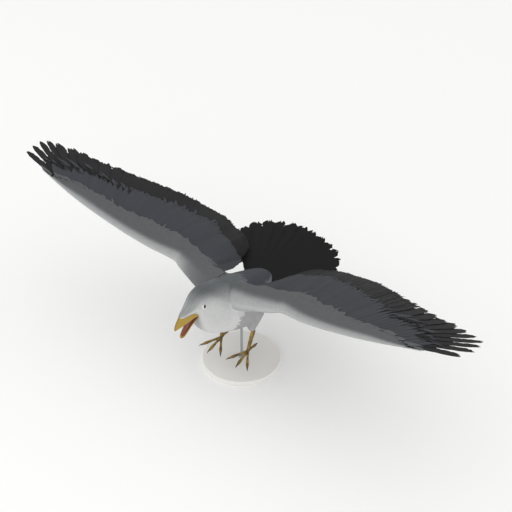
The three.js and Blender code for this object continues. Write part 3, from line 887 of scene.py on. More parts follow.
@dataclass
class Skin:
    """The one skin of head, neck, trunk, arms and thighs, under the feathers."""

    sink: float = 1.2
    voxel: float = 0.0028

    def build(self) -> bpy.types.Object:
        """Loft the forms, fuse them and smooth the joins.

        Returns:
            The skin piece.
        """
        y_of = lambda along: mix(BODY.front + self.sink, BODY.rear - self.sink, along**1.15)
        parts = [loft("trunk", 90, 64, lambda along, turn: BODY.point(y_of(along), turn, self.sink))]
        arm = lambda along, turn: WING.section(mix(*WING.arm_ends, along), turn, WING.arm_rear, self.sink)
        thigh = np.array(LEG.thigh, float)
        leg = limb(thigh[:, :3], thigh[:, 3] - self.sink)
        for side, word in SIDES:
            parts.append(loft(f"arm_{word}", 150, 40, arm, side))
            parts.append(loft(f"thigh_{word}", 24, 32, leg, side))
        skin = join("skin", parts)
        apply_modifier(skin, "REMESH", mode="VOXEL", voxel_size=self.voxel)
        apply_modifier(skin, "SMOOTH", factor=0.5, iterations=6)
        return smooth(skin)

    def dress(self, skin: bpy.types.Object, finish: Plumage) -> None:
        """Paint the skin with the coat's own markings.

        Args:
            skin: the skin piece.
            finish: its material.
        """
        points, normals = read_vertices(skin) / MM, read_vertices(skin, "normal")
        body = body_marking(points, normals)
        wing = wing_marking(points[:, 0], points[:, 1], normals[:, 2])
        below = ease(-normals[:, 2] / 0.4 + 0.5)[:, None]
        wing = mix(wing, linear(Tint.UNDERWING), below)
        out = ease((np.abs(points[:, 0]) - BODY.half_width(points[:, 1]) - 4) / 10)[:, None]
        set_marking(skin, mix(body, wing, out))
        finish.on(skin)
        ride(skin, "white_plumage", "head", "neck", "torso", "thigh_left", "thigh_right")


def set_marking(obj: bpy.types.Object, colours: np.ndarray) -> None:
    """Keep linear colours on a piece's vertices.

    Args:
        obj: the piece.
        colours: one colour for each vertex.
    """
    layer = obj.data.color_attributes.new("Marking", "FLOAT_COLOR", "POINT")
    full = np.ones((len(colours), 4), np.float32)
    full[:, :3] = colours
    layer.data.foreach_set("color", full.ravel())


# ---- Feathers ----


class Vane:
    """The pattern of one feather: a thin closed sheet, wider than it is thick."""

    def __init__(self, rows: int, across: Sequence[float]) -> None:
        """Lay out the sheet.

        Args:
            rows: how many rows of faces run from root to tip.
            across: places across the vane, from -1 at its trailing side to 1 at its leading side.
        """
        columns = len(across)
        t, s = np.meshgrid(np.linspace(0, 1, rows + 1), np.array(across, float), indexing="ij")
        row, column = np.meshgrid(np.arange(rows + 1), np.arange(columns), indexing="ij")
        top = np.arange(t.size).reshape(t.shape)
        inside = np.zeros(top.shape, bool)
        inside[1:-1, 1:-1] = True
        low = top.copy()
        low[inside] = top.size + np.arange(inside.sum())
        self.shape = top.shape
        self.twin = np.r_[top.ravel(), top[inside]]
        self.t, self.s = t.ravel()[self.twin], s.ravel()[self.twin]
        self.row, self.column = row.ravel()[self.twin], column.ravel()[self.twin]
        self.below = np.r_[np.zeros(top.size, bool), np.ones(inside.sum(), bool)]
        upper = np.stack([top[:-1, :-1], top[:-1, 1:], top[1:, 1:], top[1:, :-1]], -1).reshape(-1, 4)
        lower = np.stack([low[:-1, :-1], low[1:, :-1], low[1:, 1:], low[:-1, 1:]], -1).reshape(-1, 4)
        self.faces = np.concatenate([upper, lower])
        self.face_below = np.r_[np.zeros(len(upper), bool), np.ones(len(lower), bool)]

    def facing(self, points: np.ndarray, base: np.ndarray, soft: float) -> np.ndarray:
        """Blend the way each feather faces with the way the surface under it faces.

        Barbs lock into their neighbours, so a real coat shades as one surface with faint edges.

        Args:
            points: feathers x vertices x 3.
            base: the surface's way out at each vertex.
            soft: 0 for each feather's own shape and 1 for the surface's.

        Returns:
            The way out at each vertex, for the upper side.
        """
        upper = self.shape[0] * self.shape[1]
        grid = points[:, :upper].reshape(-1, *self.shape, 3)
        own = unit(np.cross(np.gradient(grid, axis=2), np.gradient(grid, axis=1))).reshape(-1, upper, 3)
        base = base[:, :upper]
        own = own * np.where((own * base).sum(-1, keepdims=True) < 0, -1, 1)
        return unit(mix(own, base, soft))[:, self.twin]


class Flock:
    """Feathers gathered for one joined mesh."""

    def __init__(self, name: str) -> None:
        """Start an empty flock.

        Args:
            name: the piece's name.
        """
        self.name = name
        self.size = 0
        self.parts: dict[str, list[np.ndarray]] = {
            key: [] for key in ("points", "faces", "colours", "facing", "vane", "bake")
        }

    def add(
        self,
        vane: Vane,
        points: np.ndarray,
        facing: np.ndarray,
        colours: np.ndarray,
        bake: np.ndarray,
        side: int = 1,
    ) -> None:
        """Add feathers of one pattern.

        Args:
            vane: their pattern.
            points: feathers x vertices x 3, in millimetres, on the left side.
            facing: the way out at each vertex.
            colours: feathers x vertices x 3, linear.
            bake: corner and size of each feather's patch on the bake map, feathers x 4.
            side: 1 for the left side and -1 for the right, where faces turn round.
        """
        mirror = np.array([side, 1, 1])
        count, each = points.shape[:2]
        faces = vane.faces if side > 0 else vane.faces[:, ::-1]
        way = np.where(vane.face_below, -1, 1)[:, None, None]
        s, t = (vane.s[faces] + 1) / 2, vane.t[faces]
        half = np.where(vane.face_below, 0.5, 0.0)[:, None]
        patch = np.stack([0.46 * s + half + 0.02, 0.96 * t + 0.02], -1)[None]
        new = {
            "points": points * mirror,
            "faces": faces[None] + (np.arange(count) * each)[:, None, None] + self.size,
            "colours": colours,
            "facing": (facing * mirror)[:, faces] * way,
            "vane": np.broadcast_to(np.stack([s, t], -1), (count, *s.shape, 2)),
            "bake": bake[:, None, None, :2] + patch * bake[:, None, None, 2:],
        }
        for key, value in new.items():
            self.parts[key].append(value.reshape(-1, value.shape[-1]))
        self.size += count * each

    def build(self) -> bpy.types.Object:
        """Make the joined mesh.

        Returns:
            The piece, with its maps and markings.
        """
        data = {key: np.concatenate(value) for key, value in self.parts.items()}
        mesh = bpy.data.meshes.new(self.name)
        faces = data["faces"]
        mesh.vertices.add(len(data["points"]))
        mesh.vertices.foreach_set("co", (data["points"] * MM).astype(np.float32).ravel())
        mesh.loops.add(faces.size)
        mesh.loops.foreach_set("vertex_index", faces.astype(np.int32).ravel())
        mesh.polygons.add(len(faces))
        mesh.polygons.foreach_set("loop_start", np.arange(0, faces.size, 4, dtype=np.int32))
        mesh.update(calc_edges=True)
        for name, key in (("OFBake", "bake"), ("Vane", "vane")):
            layer = mesh.uv_layers.new(name=name, do_init=False)
            layer.uv.foreach_set("vector", data[key].astype(np.float32).ravel())
        mesh.shade_smooth()
        mesh.normals_split_custom_set(data["facing"].tolist())
        obj = bpy.data.objects.new(self.name, mesh)
        bpy.context.scene.collection.objects.link(obj)
        set_marking(obj, data["colours"])
        LOG.info("%s: %d triangles", self.name, 2 * len(faces))
        return obj


def cells(count: int, start: int, side: int) -> np.ndarray:
    """Give large feathers a square each of the bake map, as corner and size, side squares to a row."""
    cell = np.arange(start, start + count)
    return np.stack([cell % side, cell // side, np.ones(count), np.ones(count)], -1) / side


def patches(unwrapped: np.ndarray) -> np.ndarray:
    """Give small feathers a patch each of the bake map at their unwrapped roots, as corner and size."""
    return np.concatenate([0.02 + 0.94 * unwrapped, np.full(unwrapped.shape, 0.003)], -1)


class Guide:
    """A surface that feathers lie on."""

    def __init__(self, points: np.ndarray, normals: np.ndarray, faces: Sequence[Sequence[int]]) -> None:
        """Keep the surface.

        Args:
            points: its vertices in millimetres.
            normals: the smooth way out at each.
            faces: its faces.
        """
        self.normals, self.points = normals, points
        self.corners = np.array([tuple(face)[:3] for face in faces])
        self.tree = BVHTree.FromPolygons(points.tolist(), [tuple(face) for face in faces])

    @classmethod
    def of_piece(cls, obj: bpy.types.Object) -> "Guide":
        """Read a piece's surface."""
        faces = [face.vertices for face in obj.data.polygons]
        return cls(read_vertices(obj) / MM, read_vertices(obj, "normal"), faces)

    @classmethod
    def of_grid(cls, grid: np.ndarray) -> "Guide":
        """Make an open surface.

        Args:
            grid: its points, rows x columns x 3.

        Returns:
            The surface.
        """
        rows, columns = grid.shape[:2]
        normals = unit(np.cross(np.gradient(grid, axis=1), np.gradient(grid, axis=0))).reshape(-1, 3)
        index = np.arange(rows * columns).reshape(rows, columns)
        faces = np.stack([index[:-1, :-1], index[:-1, 1:], index[1:, 1:], index[1:, :-1]], -1).reshape(-1, 4)
        return cls(grid.reshape(-1, 3), normals, faces.tolist())

    def nearest(self, points: np.ndarray) -> tuple[np.ndarray, np.ndarray, np.ndarray]:
        """Find the nearest places on the surface.

        Args:
            points: places in millimetres.

        Returns:
            The places found, the smooth way out at each, and how far each is.
        """
        found = [self.tree.find_nearest(p) for p in points.tolist()]
        places = np.array([f[0] for f in found])
        corners = self.corners[[f[2] for f in found]]
        gap = np.linalg.norm(self.points[corners] - places[:, None], axis=2)
        out = unit((self.normals[corners] / (gap + 0.05)[..., None]).sum(1))
        return places, out, np.array([f[3] for f in found])


CONTOUR = Curve((0, 0.5), (0.25, 0.92), (0.55, 1), (0.82, 0.78), (0.95, 0.4), (1, 0.1))
FLAME = Curve((0, 0.6), (0.25, 0.95), (0.5, 1), (0.72, 0.66), (0.9, 0.24), (1, 0.03))


@dataclass
class Contour:
    """Small feathers that lie flat along a surface."""

    vane: Vane
    outline: Curve = CONTOUR
    thick: float = 0.16
    sink: float = 0.3
    soft: float = 0.8
    # how much lower the sides lie than the shaft at the tip
    arch: float = 0.15
    # a root further than this from the surface grows nothing
    stray: float = 3.5

    def lay(
        self,
        guide: Guide,
        roots: np.ndarray,
        lies: np.ndarray,
        lengths: np.ndarray,
        widths: np.ndarray,
        rise: np.ndarray,
        hook: np.ndarray | float = 0.0,
    ) -> tuple[np.ndarray, np.ndarray, np.ndarray]:
        """Lay feathers on a surface.

        Args:
            guide: the surface.
            roots: where each grows, in millimetres.
            lies: which way each lies.
            lengths: how long each is.
            widths: how wide each is.
            rise: how far each tip stands off the surface.
            hook: how far each tip swings to the side, as a share of its length.

        Returns:
            Points as feathers x vertices x 3, the way out at each, and which feathers were kept.
        """
        base, out, away = guide.nearest(roots)
        hook = hook + np.zeros(len(roots))
        kept = away < self.stray
        base, out, lies, hook = base[kept], out[kept], lies[kept], hook[kept]
        lengths, widths, rise = lengths[kept], widths[kept], rise[kept]
        lies = unit(lies - (lies * out).sum(1, keepdims=True) * out)
        across = np.cross(lies, out)
        t, s = self.vane.t, self.vane.s
        reach = lengths[:, None] * t
        spread = widths[:, None] / 2 * (s * self.outline(t)) + (hook * lengths)[:, None] * t**3
        flat = base[:, None] + reach[..., None] * lies[:, None] + spread[..., None] * across[:, None]
        places, ways, _ = guide.nearest(flat.reshape(-1, 3))
        places, ways = places.reshape(flat.shape), ways.reshape(flat.shape)
        lift = mix(-self.sink, rise[:, None], t) - self.arch * s * s * t
        lift = lift - np.where(self.vane.below, self.thick, 0)
        points = places + lift[..., None] * ways
        return points, self.vane.facing(points, ways, self.soft), kept


@dataclass
class BodyCoat:
    """The short feathers of head, neck, trunk and thighs."""

    length: Curve = Curve(
        (-244, 4.5), (-225, 6), (-195, 8), (-165, 10), (-130, 14), (-80, 19), (0, 22), (70, 22), (116, 16),
    )
    rise: Curve = Curve((-244, 0.15), (-195, 0.3), (-150, 0.4), (-80, 0.55), (116, 0.7))
    slender: float = 0.74
    # where the coat is cut into pieces along Y
    cuts: tuple[float, ...] = (BODY.front - 5, -150, -60, BODY.rear)
    sides: int = 240

    def seeds(self, rng: np.random.Generator) -> tuple[np.ndarray, ...]:
        """Spread roots over the body in staggered rings.

        Args:
            rng: the seeded source of chance.

        Returns:
            Roots, lies, lengths, and places on the unwrapped body.
        """
        roots, lies, lengths, unwrapped = [], [], [], []
        y, row = BODY.front + 0.5, 0
        turn = np.linspace(0, 2 * np.pi, self.sides + 1)
        while y < BODY.rear - 3:
            length = float(self.length(y))
            ring = BODY.point(np.full(self.sides + 1, y), turn)
            arc = np.r_[0, np.cumsum(np.linalg.norm(np.diff(ring, axis=0), axis=1))]
            count = max(8, int(arc[-1] / (length * 0.34)))
            share = (np.arange(count) + 0.5 * (row % 2) + rng.uniform(-0.22, 0.22, count)) / count
            angle = np.interp((share % 1) * arc[-1], arc, turn)
            at = y + rng.uniform(-0.12, 0.12, count) * length
            here, ahead = BODY.point(at, angle), BODY.point(at + 2, angle)
            roots.append(here)
            lies.append(unit(ahead - here) + rng.normal(0, 0.06, here.shape))
            lengths.append(length * rng.uniform(0.85, 1.15, count))
            back = (at - BODY.front) / (BODY.rear - BODY.front)
            unwrapped.append(np.stack([angle / (2 * np.pi), back], -1))
            y, row = y + length * 0.3, row + 1
        return tuple(np.concatenate(part) for part in (roots, lies, lengths, unwrapped))

    def build(self, guide: Guide, finish: Plumage) -> list[bpy.types.Object]:
        """Lay the coat.

        Args:
            guide: the skin.
            finish: the feathers' material.

        Returns:
            The coat's pieces.
        """
        rng = np.random.default_rng(11)
        roots, lies, lengths, unwrapped = self.seeds(rng)
        contour = Contour(Vane(4, (-1, 0, 1)))
        slots = {"coat_head": "white_plumage", "coat_breast": "white_plumage", "coat_back": "grey_plumage"}
        pieces = []
        for (name, slot), low, high in zip(slots.items(), self.cuts, self.cuts[1:]):
            part = (roots[:, 1] >= low) & (roots[:, 1] < high)
            rise = self.rise(roots[part, 1]) * rng.uniform(0.85, 1.15, part.sum())
            points, facing, kept = contour.lay(
                guide, roots[part], lies[part], lengths[part], lengths[part] * self.slender, rise
            )
            count, each = points.shape[:2]
            jitter = np.repeat(rng.normal(0, 3.0, count), each)
            # a feather is of one piece, so its root's place chooses its marking
            border = points.copy()
            border[:, :, 1] = points[:, :1, 1]
            colours = body_marking(border.reshape(-1, 3), facing.reshape(-1, 3), jitter)
            colours = colours.reshape(points.shape) * rng.normal(1, 0.02, (count, 1, 1))
            flock = Flock(name)
            flock.add(contour.vane, points, facing, colours, patches(unwrapped[part][kept]))
            piece = flock.build()
            finish.on(piece)
            pieces.append(ride(piece, slot))
        return pieces


FLIGHT_OUTLINE = Curve((0, 0.55), (0.2, 0.9), (0.5, 1), (0.85, 0.96), (0.95, 0.8), (1, 0.5))
FINGER_OUTLINE = Curve(
    (0, 0.5), (0.3, 0.85), (0.42, 0.82), (0.54, 0.62), (0.72, 0.53), (0.88, 0.49), (0.96, 0.34), (1, 0.1),
)
POINTED_OUTLINE = Curve((0, 0.6), (0.3, 0.95), (0.5, 1), (0.7, 0.74), (0.85, 0.42), (0.95, 0.2), (1, 0.06))
COVERT_OUTLINE = Curve((0, 0.6), (0.35, 0.95), (0.7, 1), (0.88, 0.8), (0.97, 0.44), (1, 0.18))
TAIL_OUTLINE = Curve((0, 0.3), (0.35, 0.64), (0.7, 0.92), (0.87, 1), (0.92, 0.94), (0.965, 0.74), (1, 0.3))
WIDE_VANE = (-1, -0.85, -0.68, -0.5, -0.3, -0.12, 0.08, 0.3, 0.52, 0.7, 0.86, 1)

# height of a surface at places in plan
Height = Callable[[np.ndarray, np.ndarray], np.ndarray]


def way_out(skin: Height, x: np.ndarray, y: np.ndarray) -> np.ndarray:
    """Find which way a surface faces at places in plan, as vectors of length one."""
    level = skin(x, y)
    return unit(np.stack([level - skin(x + 1, y), level - skin(x, y + 1), np.ones_like(x)], -1))

@dataclass
class Tier:
    """A row of overlapping feathers on the wing or tail."""

    count: int
    width: float
    outline: Curve
    root: Callable[[float], tuple[float, float]]
    tip: Callable[[float], tuple[float, float]]
    depth: tuple[float, float]
    tilt: float = 0.03
    bow: float = 0.0
    rag: float = 0.06
    fray: float = 4.0
    fingers: int = 0
    lead: float = 0.4
    rows: int = 22
    thick: float = 0.3
    soft: float = 0.75
    hem: Curve | None = None
    tint: Tint = Tint.FLIGHT
    below: Tint = Tint.FLIGHT_BELOW

    def feathers(
        self, skin: Height, rng: np.random.Generator
    ) -> tuple[Vane, np.ndarray, np.ndarray, np.ndarray]:
        """Shape every feather of the row.

        Args:
            skin: height of the surface at places in plan.
            rng: the seeded source of chance.

        Returns:
            The pattern, and points, the way out and colours for all feathers.
        """
        vane = Vane(self.rows, WIDE_VANE)
        t, s = vane.t, vane.s
        side = (s > 0).astype(int)
        web = np.where(s > 0, self.lead, 1 - self.lead)
        late_row = 0.3 + 1.4 * np.linspace(0, 1, self.rows + 1) ** 2
        points, base, colours = [], [], []
        for k in range(self.count):
            share = k / (self.count - 1)
            root = np.array(self.root(share))
            tip = np.array(self.tip(share)) + rng.uniform(-1, 1, 2) * (2, 3)
            length = float(np.hypot(*(tip - root)))
            way = (tip - root) / length
            slotted = float(np.clip((self.fingers - self.count + 1 + k) / 3, 0, 1))
            outline = mix(self.outline(t), FINGER_OUTLINE(t), slotted)
            width = self.width * rng.normal(1, 0.04)
            # ragged sides: rows drawn in where the barbs have parted, and swept back towards the tip
            notch = rng.random((2, self.rows + 1)) ** 3 * self.rag * 2.2 * late_row
            slip = rng.uniform(0, 1, (2, self.rows + 1)) * self.rag
            off = s * web * width * outline * (1 - notch[side, vane.row] * np.abs(s))
            comb = rng.uniform(-1, 0.5, len(WIDE_VANE)) * self.fray
            swept = slip[side, vane.row] * s * s * width * 0.7 * (t < 0.995)
            run = t * length + swept + comb[vane.column] * ease((t - 0.84) / 0.16)
            aside = off + self.bow * 4 * t * (1 - t)
            x = root[0] + way[0] * run + way[1] * aside
            y = root[1] + way[1] * run - way[0] * aside
            if self.hem:
                y = np.minimum(y, self.hem(x) + 2 + 2 * rng.random(len(y)))
            z = skin(x, y) - mix(*self.depth, t) + self.tilt * off - rng.uniform(-0.2, 0.2) * t
            shaft = 0.35 * np.exp(-((s / 0.1) ** 2)) * (1 - t)
            z = z + np.where(vane.below, -self.thick - shaft, shaft)
            points.append(np.stack([x, y, z], -1))
            base.append(way_out(skin, x, y))
            tint = np.where(vane.below[:, None], linear(self.below), linear(self.tint))
            colours.append(tint * rng.normal(1, 0.025))
        points = np.array(points)
        return vane, points, vane.facing(points, np.array(base), self.soft), np.array(colours)


@dataclass
class Fringe:
    """Loose curved barbs that run on past the end of a tract."""

    edge: Curve
    span: tuple[float, float]
    pitch: float
    reach: tuple[float, float]
    width: tuple[float, float]
    curl: tuple[float, float]
    over: float
    tint: Tint
    hidden: float = 14
    turn: float = 0.0
    thick: float = 0.3
    soft: float = 0.85

    def strands(self, vane: Vane, rng: np.random.Generator) -> tuple[np.ndarray, np.ndarray, np.ndarray]:
        """Shape the strands.

        Args:
            vane: their pattern.
            rng: the seeded source of chance.

        Returns:
            Points, the way out and colours.
        """
        t, s = vane.t, vane.s
        shares = np.linspace(0, 1, vane.shape[0])
        points, base, colours = [], [], []
        x0 = self.span[0]
        while x0 < self.span[1]:
            x0 += self.pitch * rng.uniform(0.4, 1.9)
            # most are short and a few are long
            length = self.hidden + mix(*self.reach, rng.random() ** 2.2)
            width = rng.uniform(*self.width)
            heading = float(WING.lie(x0)) + self.turn + rng.normal(0, 0.1)
            heading = heading + mix(*self.curl, rng.random()) * shares**2
            ahead, aside = np.cos(heading), np.sin(heading)
            step = length / (len(shares) - 1)
            path_x = x0 - self.hidden * aside[0] + np.r_[0, np.cumsum(aside[1:])] * step
            path_y = float(self.edge(x0)) - self.hidden * ahead[0] + np.r_[0, np.cumsum(ahead[1:])] * step
            off = s * FLAME(t) * width / 2
            x = path_x[vane.row] + ahead[vane.row] * off
            y = path_y[vane.row] - aside[vane.row] * off
            z = WING.skin(x, y) + self.over * (0.7 + 0.3 * t) - np.where(vane.below, self.thick, 0)
            points.append(np.stack([x, y, z], -1))
            base.append(way_out(WING.skin, x, y))
            colours.append(np.broadcast_to(linear(self.tint) * rng.normal(1, 0.02), (len(t), 3)))
        points = np.array(points)
        return points, vane.facing(points, np.array(base), self.soft), np.array(colours)


Plan = Callable[[float], tuple[float, float]]


def line(start: tuple[float, float], end: tuple[float, float]) -> Plan:
    """Make roots that run in a line between two places in plan."""
    return lambda s: (mix(start[0], end[0], s), mix(start[1], end[1], s))


def along(start: float, end: float, curve: Curve) -> Plan:
    """Make tips that run along a curve."""
    return lambda s: (mix(start, end, s), float(curve(mix(start, end, s))))


PRIMARY_TIPS = np.array([
    (438, 108), (468, 98), (503, 86), (538, 70), (572, 57), (605, 46), (637, 36), (668, 24), (692, 8),
    (701, -11), (699, -39), (685, -73),
], float)


def primary_tip(s: float) -> tuple[float, float]:
    """Find a primary's tip by its share along the row."""
    places = np.linspace(0, 1, len(PRIMARY_TIPS))
    return tuple(float(np.interp(s, places, axis)) for axis in PRIMARY_TIPS.T)


@dataclass
class WingPlumage:
    """All feathers of one wing, from the flight feathers forward."""

    # 1 for the left wing and -1 for the right
    side: int
    # count, width, outline, roots, tips and depth of each row
    flight: tuple[Tier, ...] = (
        Tier(
            7, 34, FLIGHT_OUTLINE, line((158, -24), (70, -16)), along(134, 90, WING.trail_y), (3.6, 1.0),
            hem=WING.trail_y,
        ),
        Tier(
            20, 36, FLIGHT_OUTLINE, line((352, -56), (166, -24)), along(448, 140, WING.trail_y), (3.6, 0.9),
            rag=0.07,
        ),
        Tier(
            12, 42, FLIGHT_OUTLINE, line((341, -54), (512, -92)), primary_tip, (3.2, 0.6),
            tilt=0.05, bow=4, rag=0.08, fray=7, fingers=6, lead=0.36, rows=34, soft=0.6,
        ),
    )
    greater: tuple[Tier, ...] = (
        Tier(
            8, 30, COVERT_OUTLINE, line((158, -36), (56, -52)), along(134, 78, WING.greater_end), (2.2, 1.2),
            hem=WING.trail_y, tint=Tint.MID_COVERT, rows=20,
        ),
        Tier(
            20, 30, COVERT_OUTLINE, line((348, -68), (165, -36)), along(416, 142, WING.greater_end),
            (2.2, 1.2), fray=5, tint=Tint.MID_COVERT,
        ),
        Tier(
            15, 26, POINTED_OUTLINE, line((340, -72), (526, -99)), along(408, 612, WING.greater_end),
            (1.9, 0.6), bow=2, fray=7, tint=Tint.MID_COVERT, rows=24,
        ),
    )
    # edge, span, pitch, reach, width, curl, height over the skin and tint of each fringe
    fringes: tuple[Fringe, ...] = (
        Fringe(WING.trail_y, (96, 560), 12, (1, 11), (3, 5), (0.1, 0.8), -1.0, Tint.FLIGHT),
        Fringe(WING.greater_end, (110, 440), 24, (1, 30), (5, 9), (0.0, 1.1), -0.9, Tint.MID_COVERT),
        Fringe(WING.greater_end, (440, 606), 13, (4, 46), (6, 10), (0.0, 0.2), -0.3, Tint.MID_COVERT),
        Fringe(WING.median_end, (110, 470), 24, (1, 20), (5, 8), (0.0, 0.9), 0.6, Tint.LIGHT_COVERT),
        Fringe(
            WING.median_end, (470, 596), 11, (6, 46), (6, 10), (-0.1, 0.1), 0.7, Tint.LIGHT_COVERT,
            turn=-0.02,
        ),
        Fringe(
            WING.greater_end, (480, 606), 12, (2, 30), (3, 5), (-0.1, 0.1), 0.9, Tint.FLIGHT,
            hidden=44, turn=0.04,
        ),
    )
    covert_rows: int = 10
    under_rows: int = 9
    # rows of coverts that go round the leading edge, before the others
    edge_rows: int = 5
    covert_reach: float = 596

    def __post_init__(self) -> None:
        """Name the side and seed the wing's own chance."""
        self.word = dict(SIDES)[self.side]
        self.rng = np.random.default_rng(31 + self.side)

    def tiers(self, name: str, slot: str, tiers: tuple[Tier, ...], *nodes: str) -> bpy.types.Object:
        """Build tiers as one piece.

        Args:
            name: the piece's name.
            slot: the record's slot.
            tiers: the rows of feathers.
            nodes: the solids that it stands for.

        Returns:
            The piece.
        """
        flock = Flock(f"{name}_{self.word}")
        side = math.ceil(math.sqrt(sum(tier.count for tier in tiers)))
        done = 0
        for tier in tiers:
            vane, points, facing, colours = tier.feathers(WING.skin, self.rng)
            flock.add(vane, points, facing, colours, cells(tier.count, done, side), self.side)
            done += tier.count
        return ride(flock.build(), slot, *(f"{node}_{self.word}" for node in nodes))

    def guide(self, upper: bool) -> Guide:
        """Make the surface that the small coverts lie on.

        Args:
            upper: true for the upper side with the leading edge's round, false for the under side.

        Returns:
            The surface.
        """
        turns = (0.04, 1.16) if upper else (0.98, 1.96)
        x, turn = np.meshgrid(np.linspace(24, WING.tip, 165), np.linspace(*turns, 81) * np.pi, indexing="ij")
        return Guide.of_grid(WING.section(x, turn, WING.trail_y, 0))

    def rows(self, upper: bool) -> tuple[np.ndarray, ...]:
        """Spread the roots of small coverts in rows from the leading edge back.

        Args:
            upper: true for the wing's upper side.

        Returns:
            Roots, lies, lengths, hooks and places on the unwrapped wing.
        """
        rng = self.rng
        count = self.covert_rows if upper else self.under_rows
        parts = [[], [], [], [], []]
        for row in range(1 - self.edge_rows if upper else 0, count):
            edge = row < 1
            q = max(row, 0) / (count - 1)
            length = mix(14, 30, q) if upper else mix(15, 38, q)
            step = length * (0.28 if upper and edge else 0.36)
            x = np.arange((28 if upper else 62 + 16 * q) + step * 0.5 * (row % 2), self.covert_reach, step)
            x = x + rng.uniform(-0.2, 0.2, len(x)) * step
            front = WING.edge_y(x)
            rear = WING.median_end(x) - 26 if upper else mix(front, WING.trail_y(x), 0.52)
            y = mix(front, rear, q ** (1.15 if upper else 1.1)) + rng.uniform(-0.1, 0.1, len(x)) * length
            z = WING.skin(x, y) if upper else WING.under(x, y)
            angle = WING.lie(x) + rng.normal(0, 0.05, len(x))
            if edge:
                turn = 0.92 - 0.04 * row if upper else 1.1
                x, y, z = WING.section(x, np.full(len(x), turn * np.pi), WING.trail_y, 0).T
                # those round the edge lie out along it and hide where the two sides part
                angle = angle + (1.1 if upper else 0)
            shrink = np.clip((WING.tip - x) / 160, 0.45, 1)
            parts[0].append(np.stack([x, y, z], -1))
            parts[1].append(np.stack([np.sin(angle), np.cos(angle), 0 * angle], -1))
            parts[2].append(length * shrink * rng.uniform(0.9, 1.12, len(x)))
            parts[3].append(rng.uniform(0, 0.12, len(x)) * (q > 0.8))
            parts[4].append(np.stack([x / 700, np.full(len(x), mix(0.02, 0.97, q))], -1))
        return tuple(np.concatenate(part) for part in parts)

    def coverts(self, upper: bool) -> bpy.types.Object:
        """Lay the small coverts of one side of the wing.

        Args:
            upper: true for the upper side.

        Returns:
            The piece.
        """
        rng = self.rng
        roots, lies, lengths, hooks, unwrapped = self.rows(upper)
        contour = Contour(Vane(5, (-1, -0.4, 0.4, 1)))
        rise = rng.uniform(0.25, 0.5, len(roots))
        guide = self.guide(upper)
        points, facing, kept = contour.lay(guide, roots, lies, lengths, lengths * 0.76, rise, hooks)
        colours = np.broadcast_to(linear(Tint.UNDERWING), points.shape)
        if upper:
            x, y, _ = points.reshape(-1, 3).T
            colours = wing_marking(x * self.side, y, facing[..., 2].ravel()).reshape(points.shape)
        colours = colours * rng.normal(1, 0.02, (len(points), 1, 1))
        flock = Flock(f"{'coverts' if upper else 'underwing'}_{self.word}")
        flock.add(contour.vane, points, facing, colours, patches(unwrapped[kept]), self.side)
        return ride(flock.build(), "slate_plumage")

    def strands(self) -> bpy.types.Object:
        """Lay the loose barbs that reach past the ends of the coverts and along the trailing edge.

        Returns:
            The piece.
        """
        flock = Flock(f"loose_barbs_{self.word}")
        vane = Vane(8, (-1, 0, 1))
        for fringe in self.fringes:
            points, facing, colours = fringe.strands(vane, self.rng)
            place = points[:, 0, :2]
            unwrapped = np.clip(np.stack([place[:, 0] / 720, (place[:, 1] + 120) / 330], -1), 0, 1)
            flock.add(vane, points, facing, colours, patches(unwrapped), self.side)
        return ride(flock.build(), "slate_plumage")

    def build(self, flight: Plumage, covert: Plumage) -> list[bpy.types.Object]:
        """Build and dress the wing.

        Args:
            flight: the flight feathers' material.
            covert: the coverts' material.

        Returns:
            The wing's pieces.
        """
        quills = self.tiers(
            "flight_feathers", "black_plumage", self.flight, "wing_hand", "wing_forearm", "wing_upper_arm"
        )
        flight.on(quills)
        rest = [
            self.tiers("greater_coverts", "slate_plumage", self.greater),
            self.coverts(True),
            self.coverts(False),
            self.strands(),
        ]
        covert.on(*rest)
        return [quills, *rest]


@dataclass
class TailPlumage:
    """The tail's fan."""

    apex: float = 8
    root_y: float = 92
    root_z: float = 237
    rise: float = 0.16
    droop: float = 5
    spread: float = 0.66
    reach: Curve = Curve((0, 285), (0.35, 284), (0.52, 275), (0.66, 258))
    count: int = 12

    def skin(self, x: np.ndarray, y: np.ndarray) -> np.ndarray:
        """Find the fan's height at places in plan."""
        return self.root_z + self.rise * (y - self.root_y) - self.droop * (x / 150) ** 2

    def place(self, angle: float, reach: float) -> tuple[float, float]:
        """Find a place on the fan by its angle and its distance from the apex."""
        return (math.sin(angle) * reach, self.apex + math.cos(angle) * reach)

    def half(self, side: int) -> Tier:
        """Make one half of the fan, from its middle outwards.

        Args:
            side: 1 for the left half and -1 for the right.

        Returns:
            The tier.
        """
        at = lambda s: side * self.spread * mix(1 / (self.count - 1), 1, s)
        root = lambda s: self.place(at(s) * 0.8, 74)
        tip = lambda s: self.place(at(s), float(self.reach(abs(at(s)))))
        return Tier(
            self.count // 2, 41.5, TAIL_OUTLINE, root, tip, (3, 1),
            tilt=-0.035 * side, rag=0.13, fray=7, lead=0.5, rows=30, soft=0.65, tint=Tint.TAIL,
        )

    def build(self, finish: Plumage) -> bpy.types.Object:
        """Build the fan.

        Args:
            finish: its material.

        Returns:
            The piece.
        """
        rng = np.random.default_rng(5)
        flock = Flock("tail_feathers")
        for number, side in enumerate((-1, 1)):
            tier = self.half(side)
            vane, points, facing, colours = tier.feathers(self.skin, rng)
            flock.add(vane, points, facing, colours, cells(tier.count, number * tier.count, 4))
        piece = ride(flock.build(), "black_plumage", "tail")
        finish.on(piece)
        return piece


# ---- Bill, mouth and eyes ----


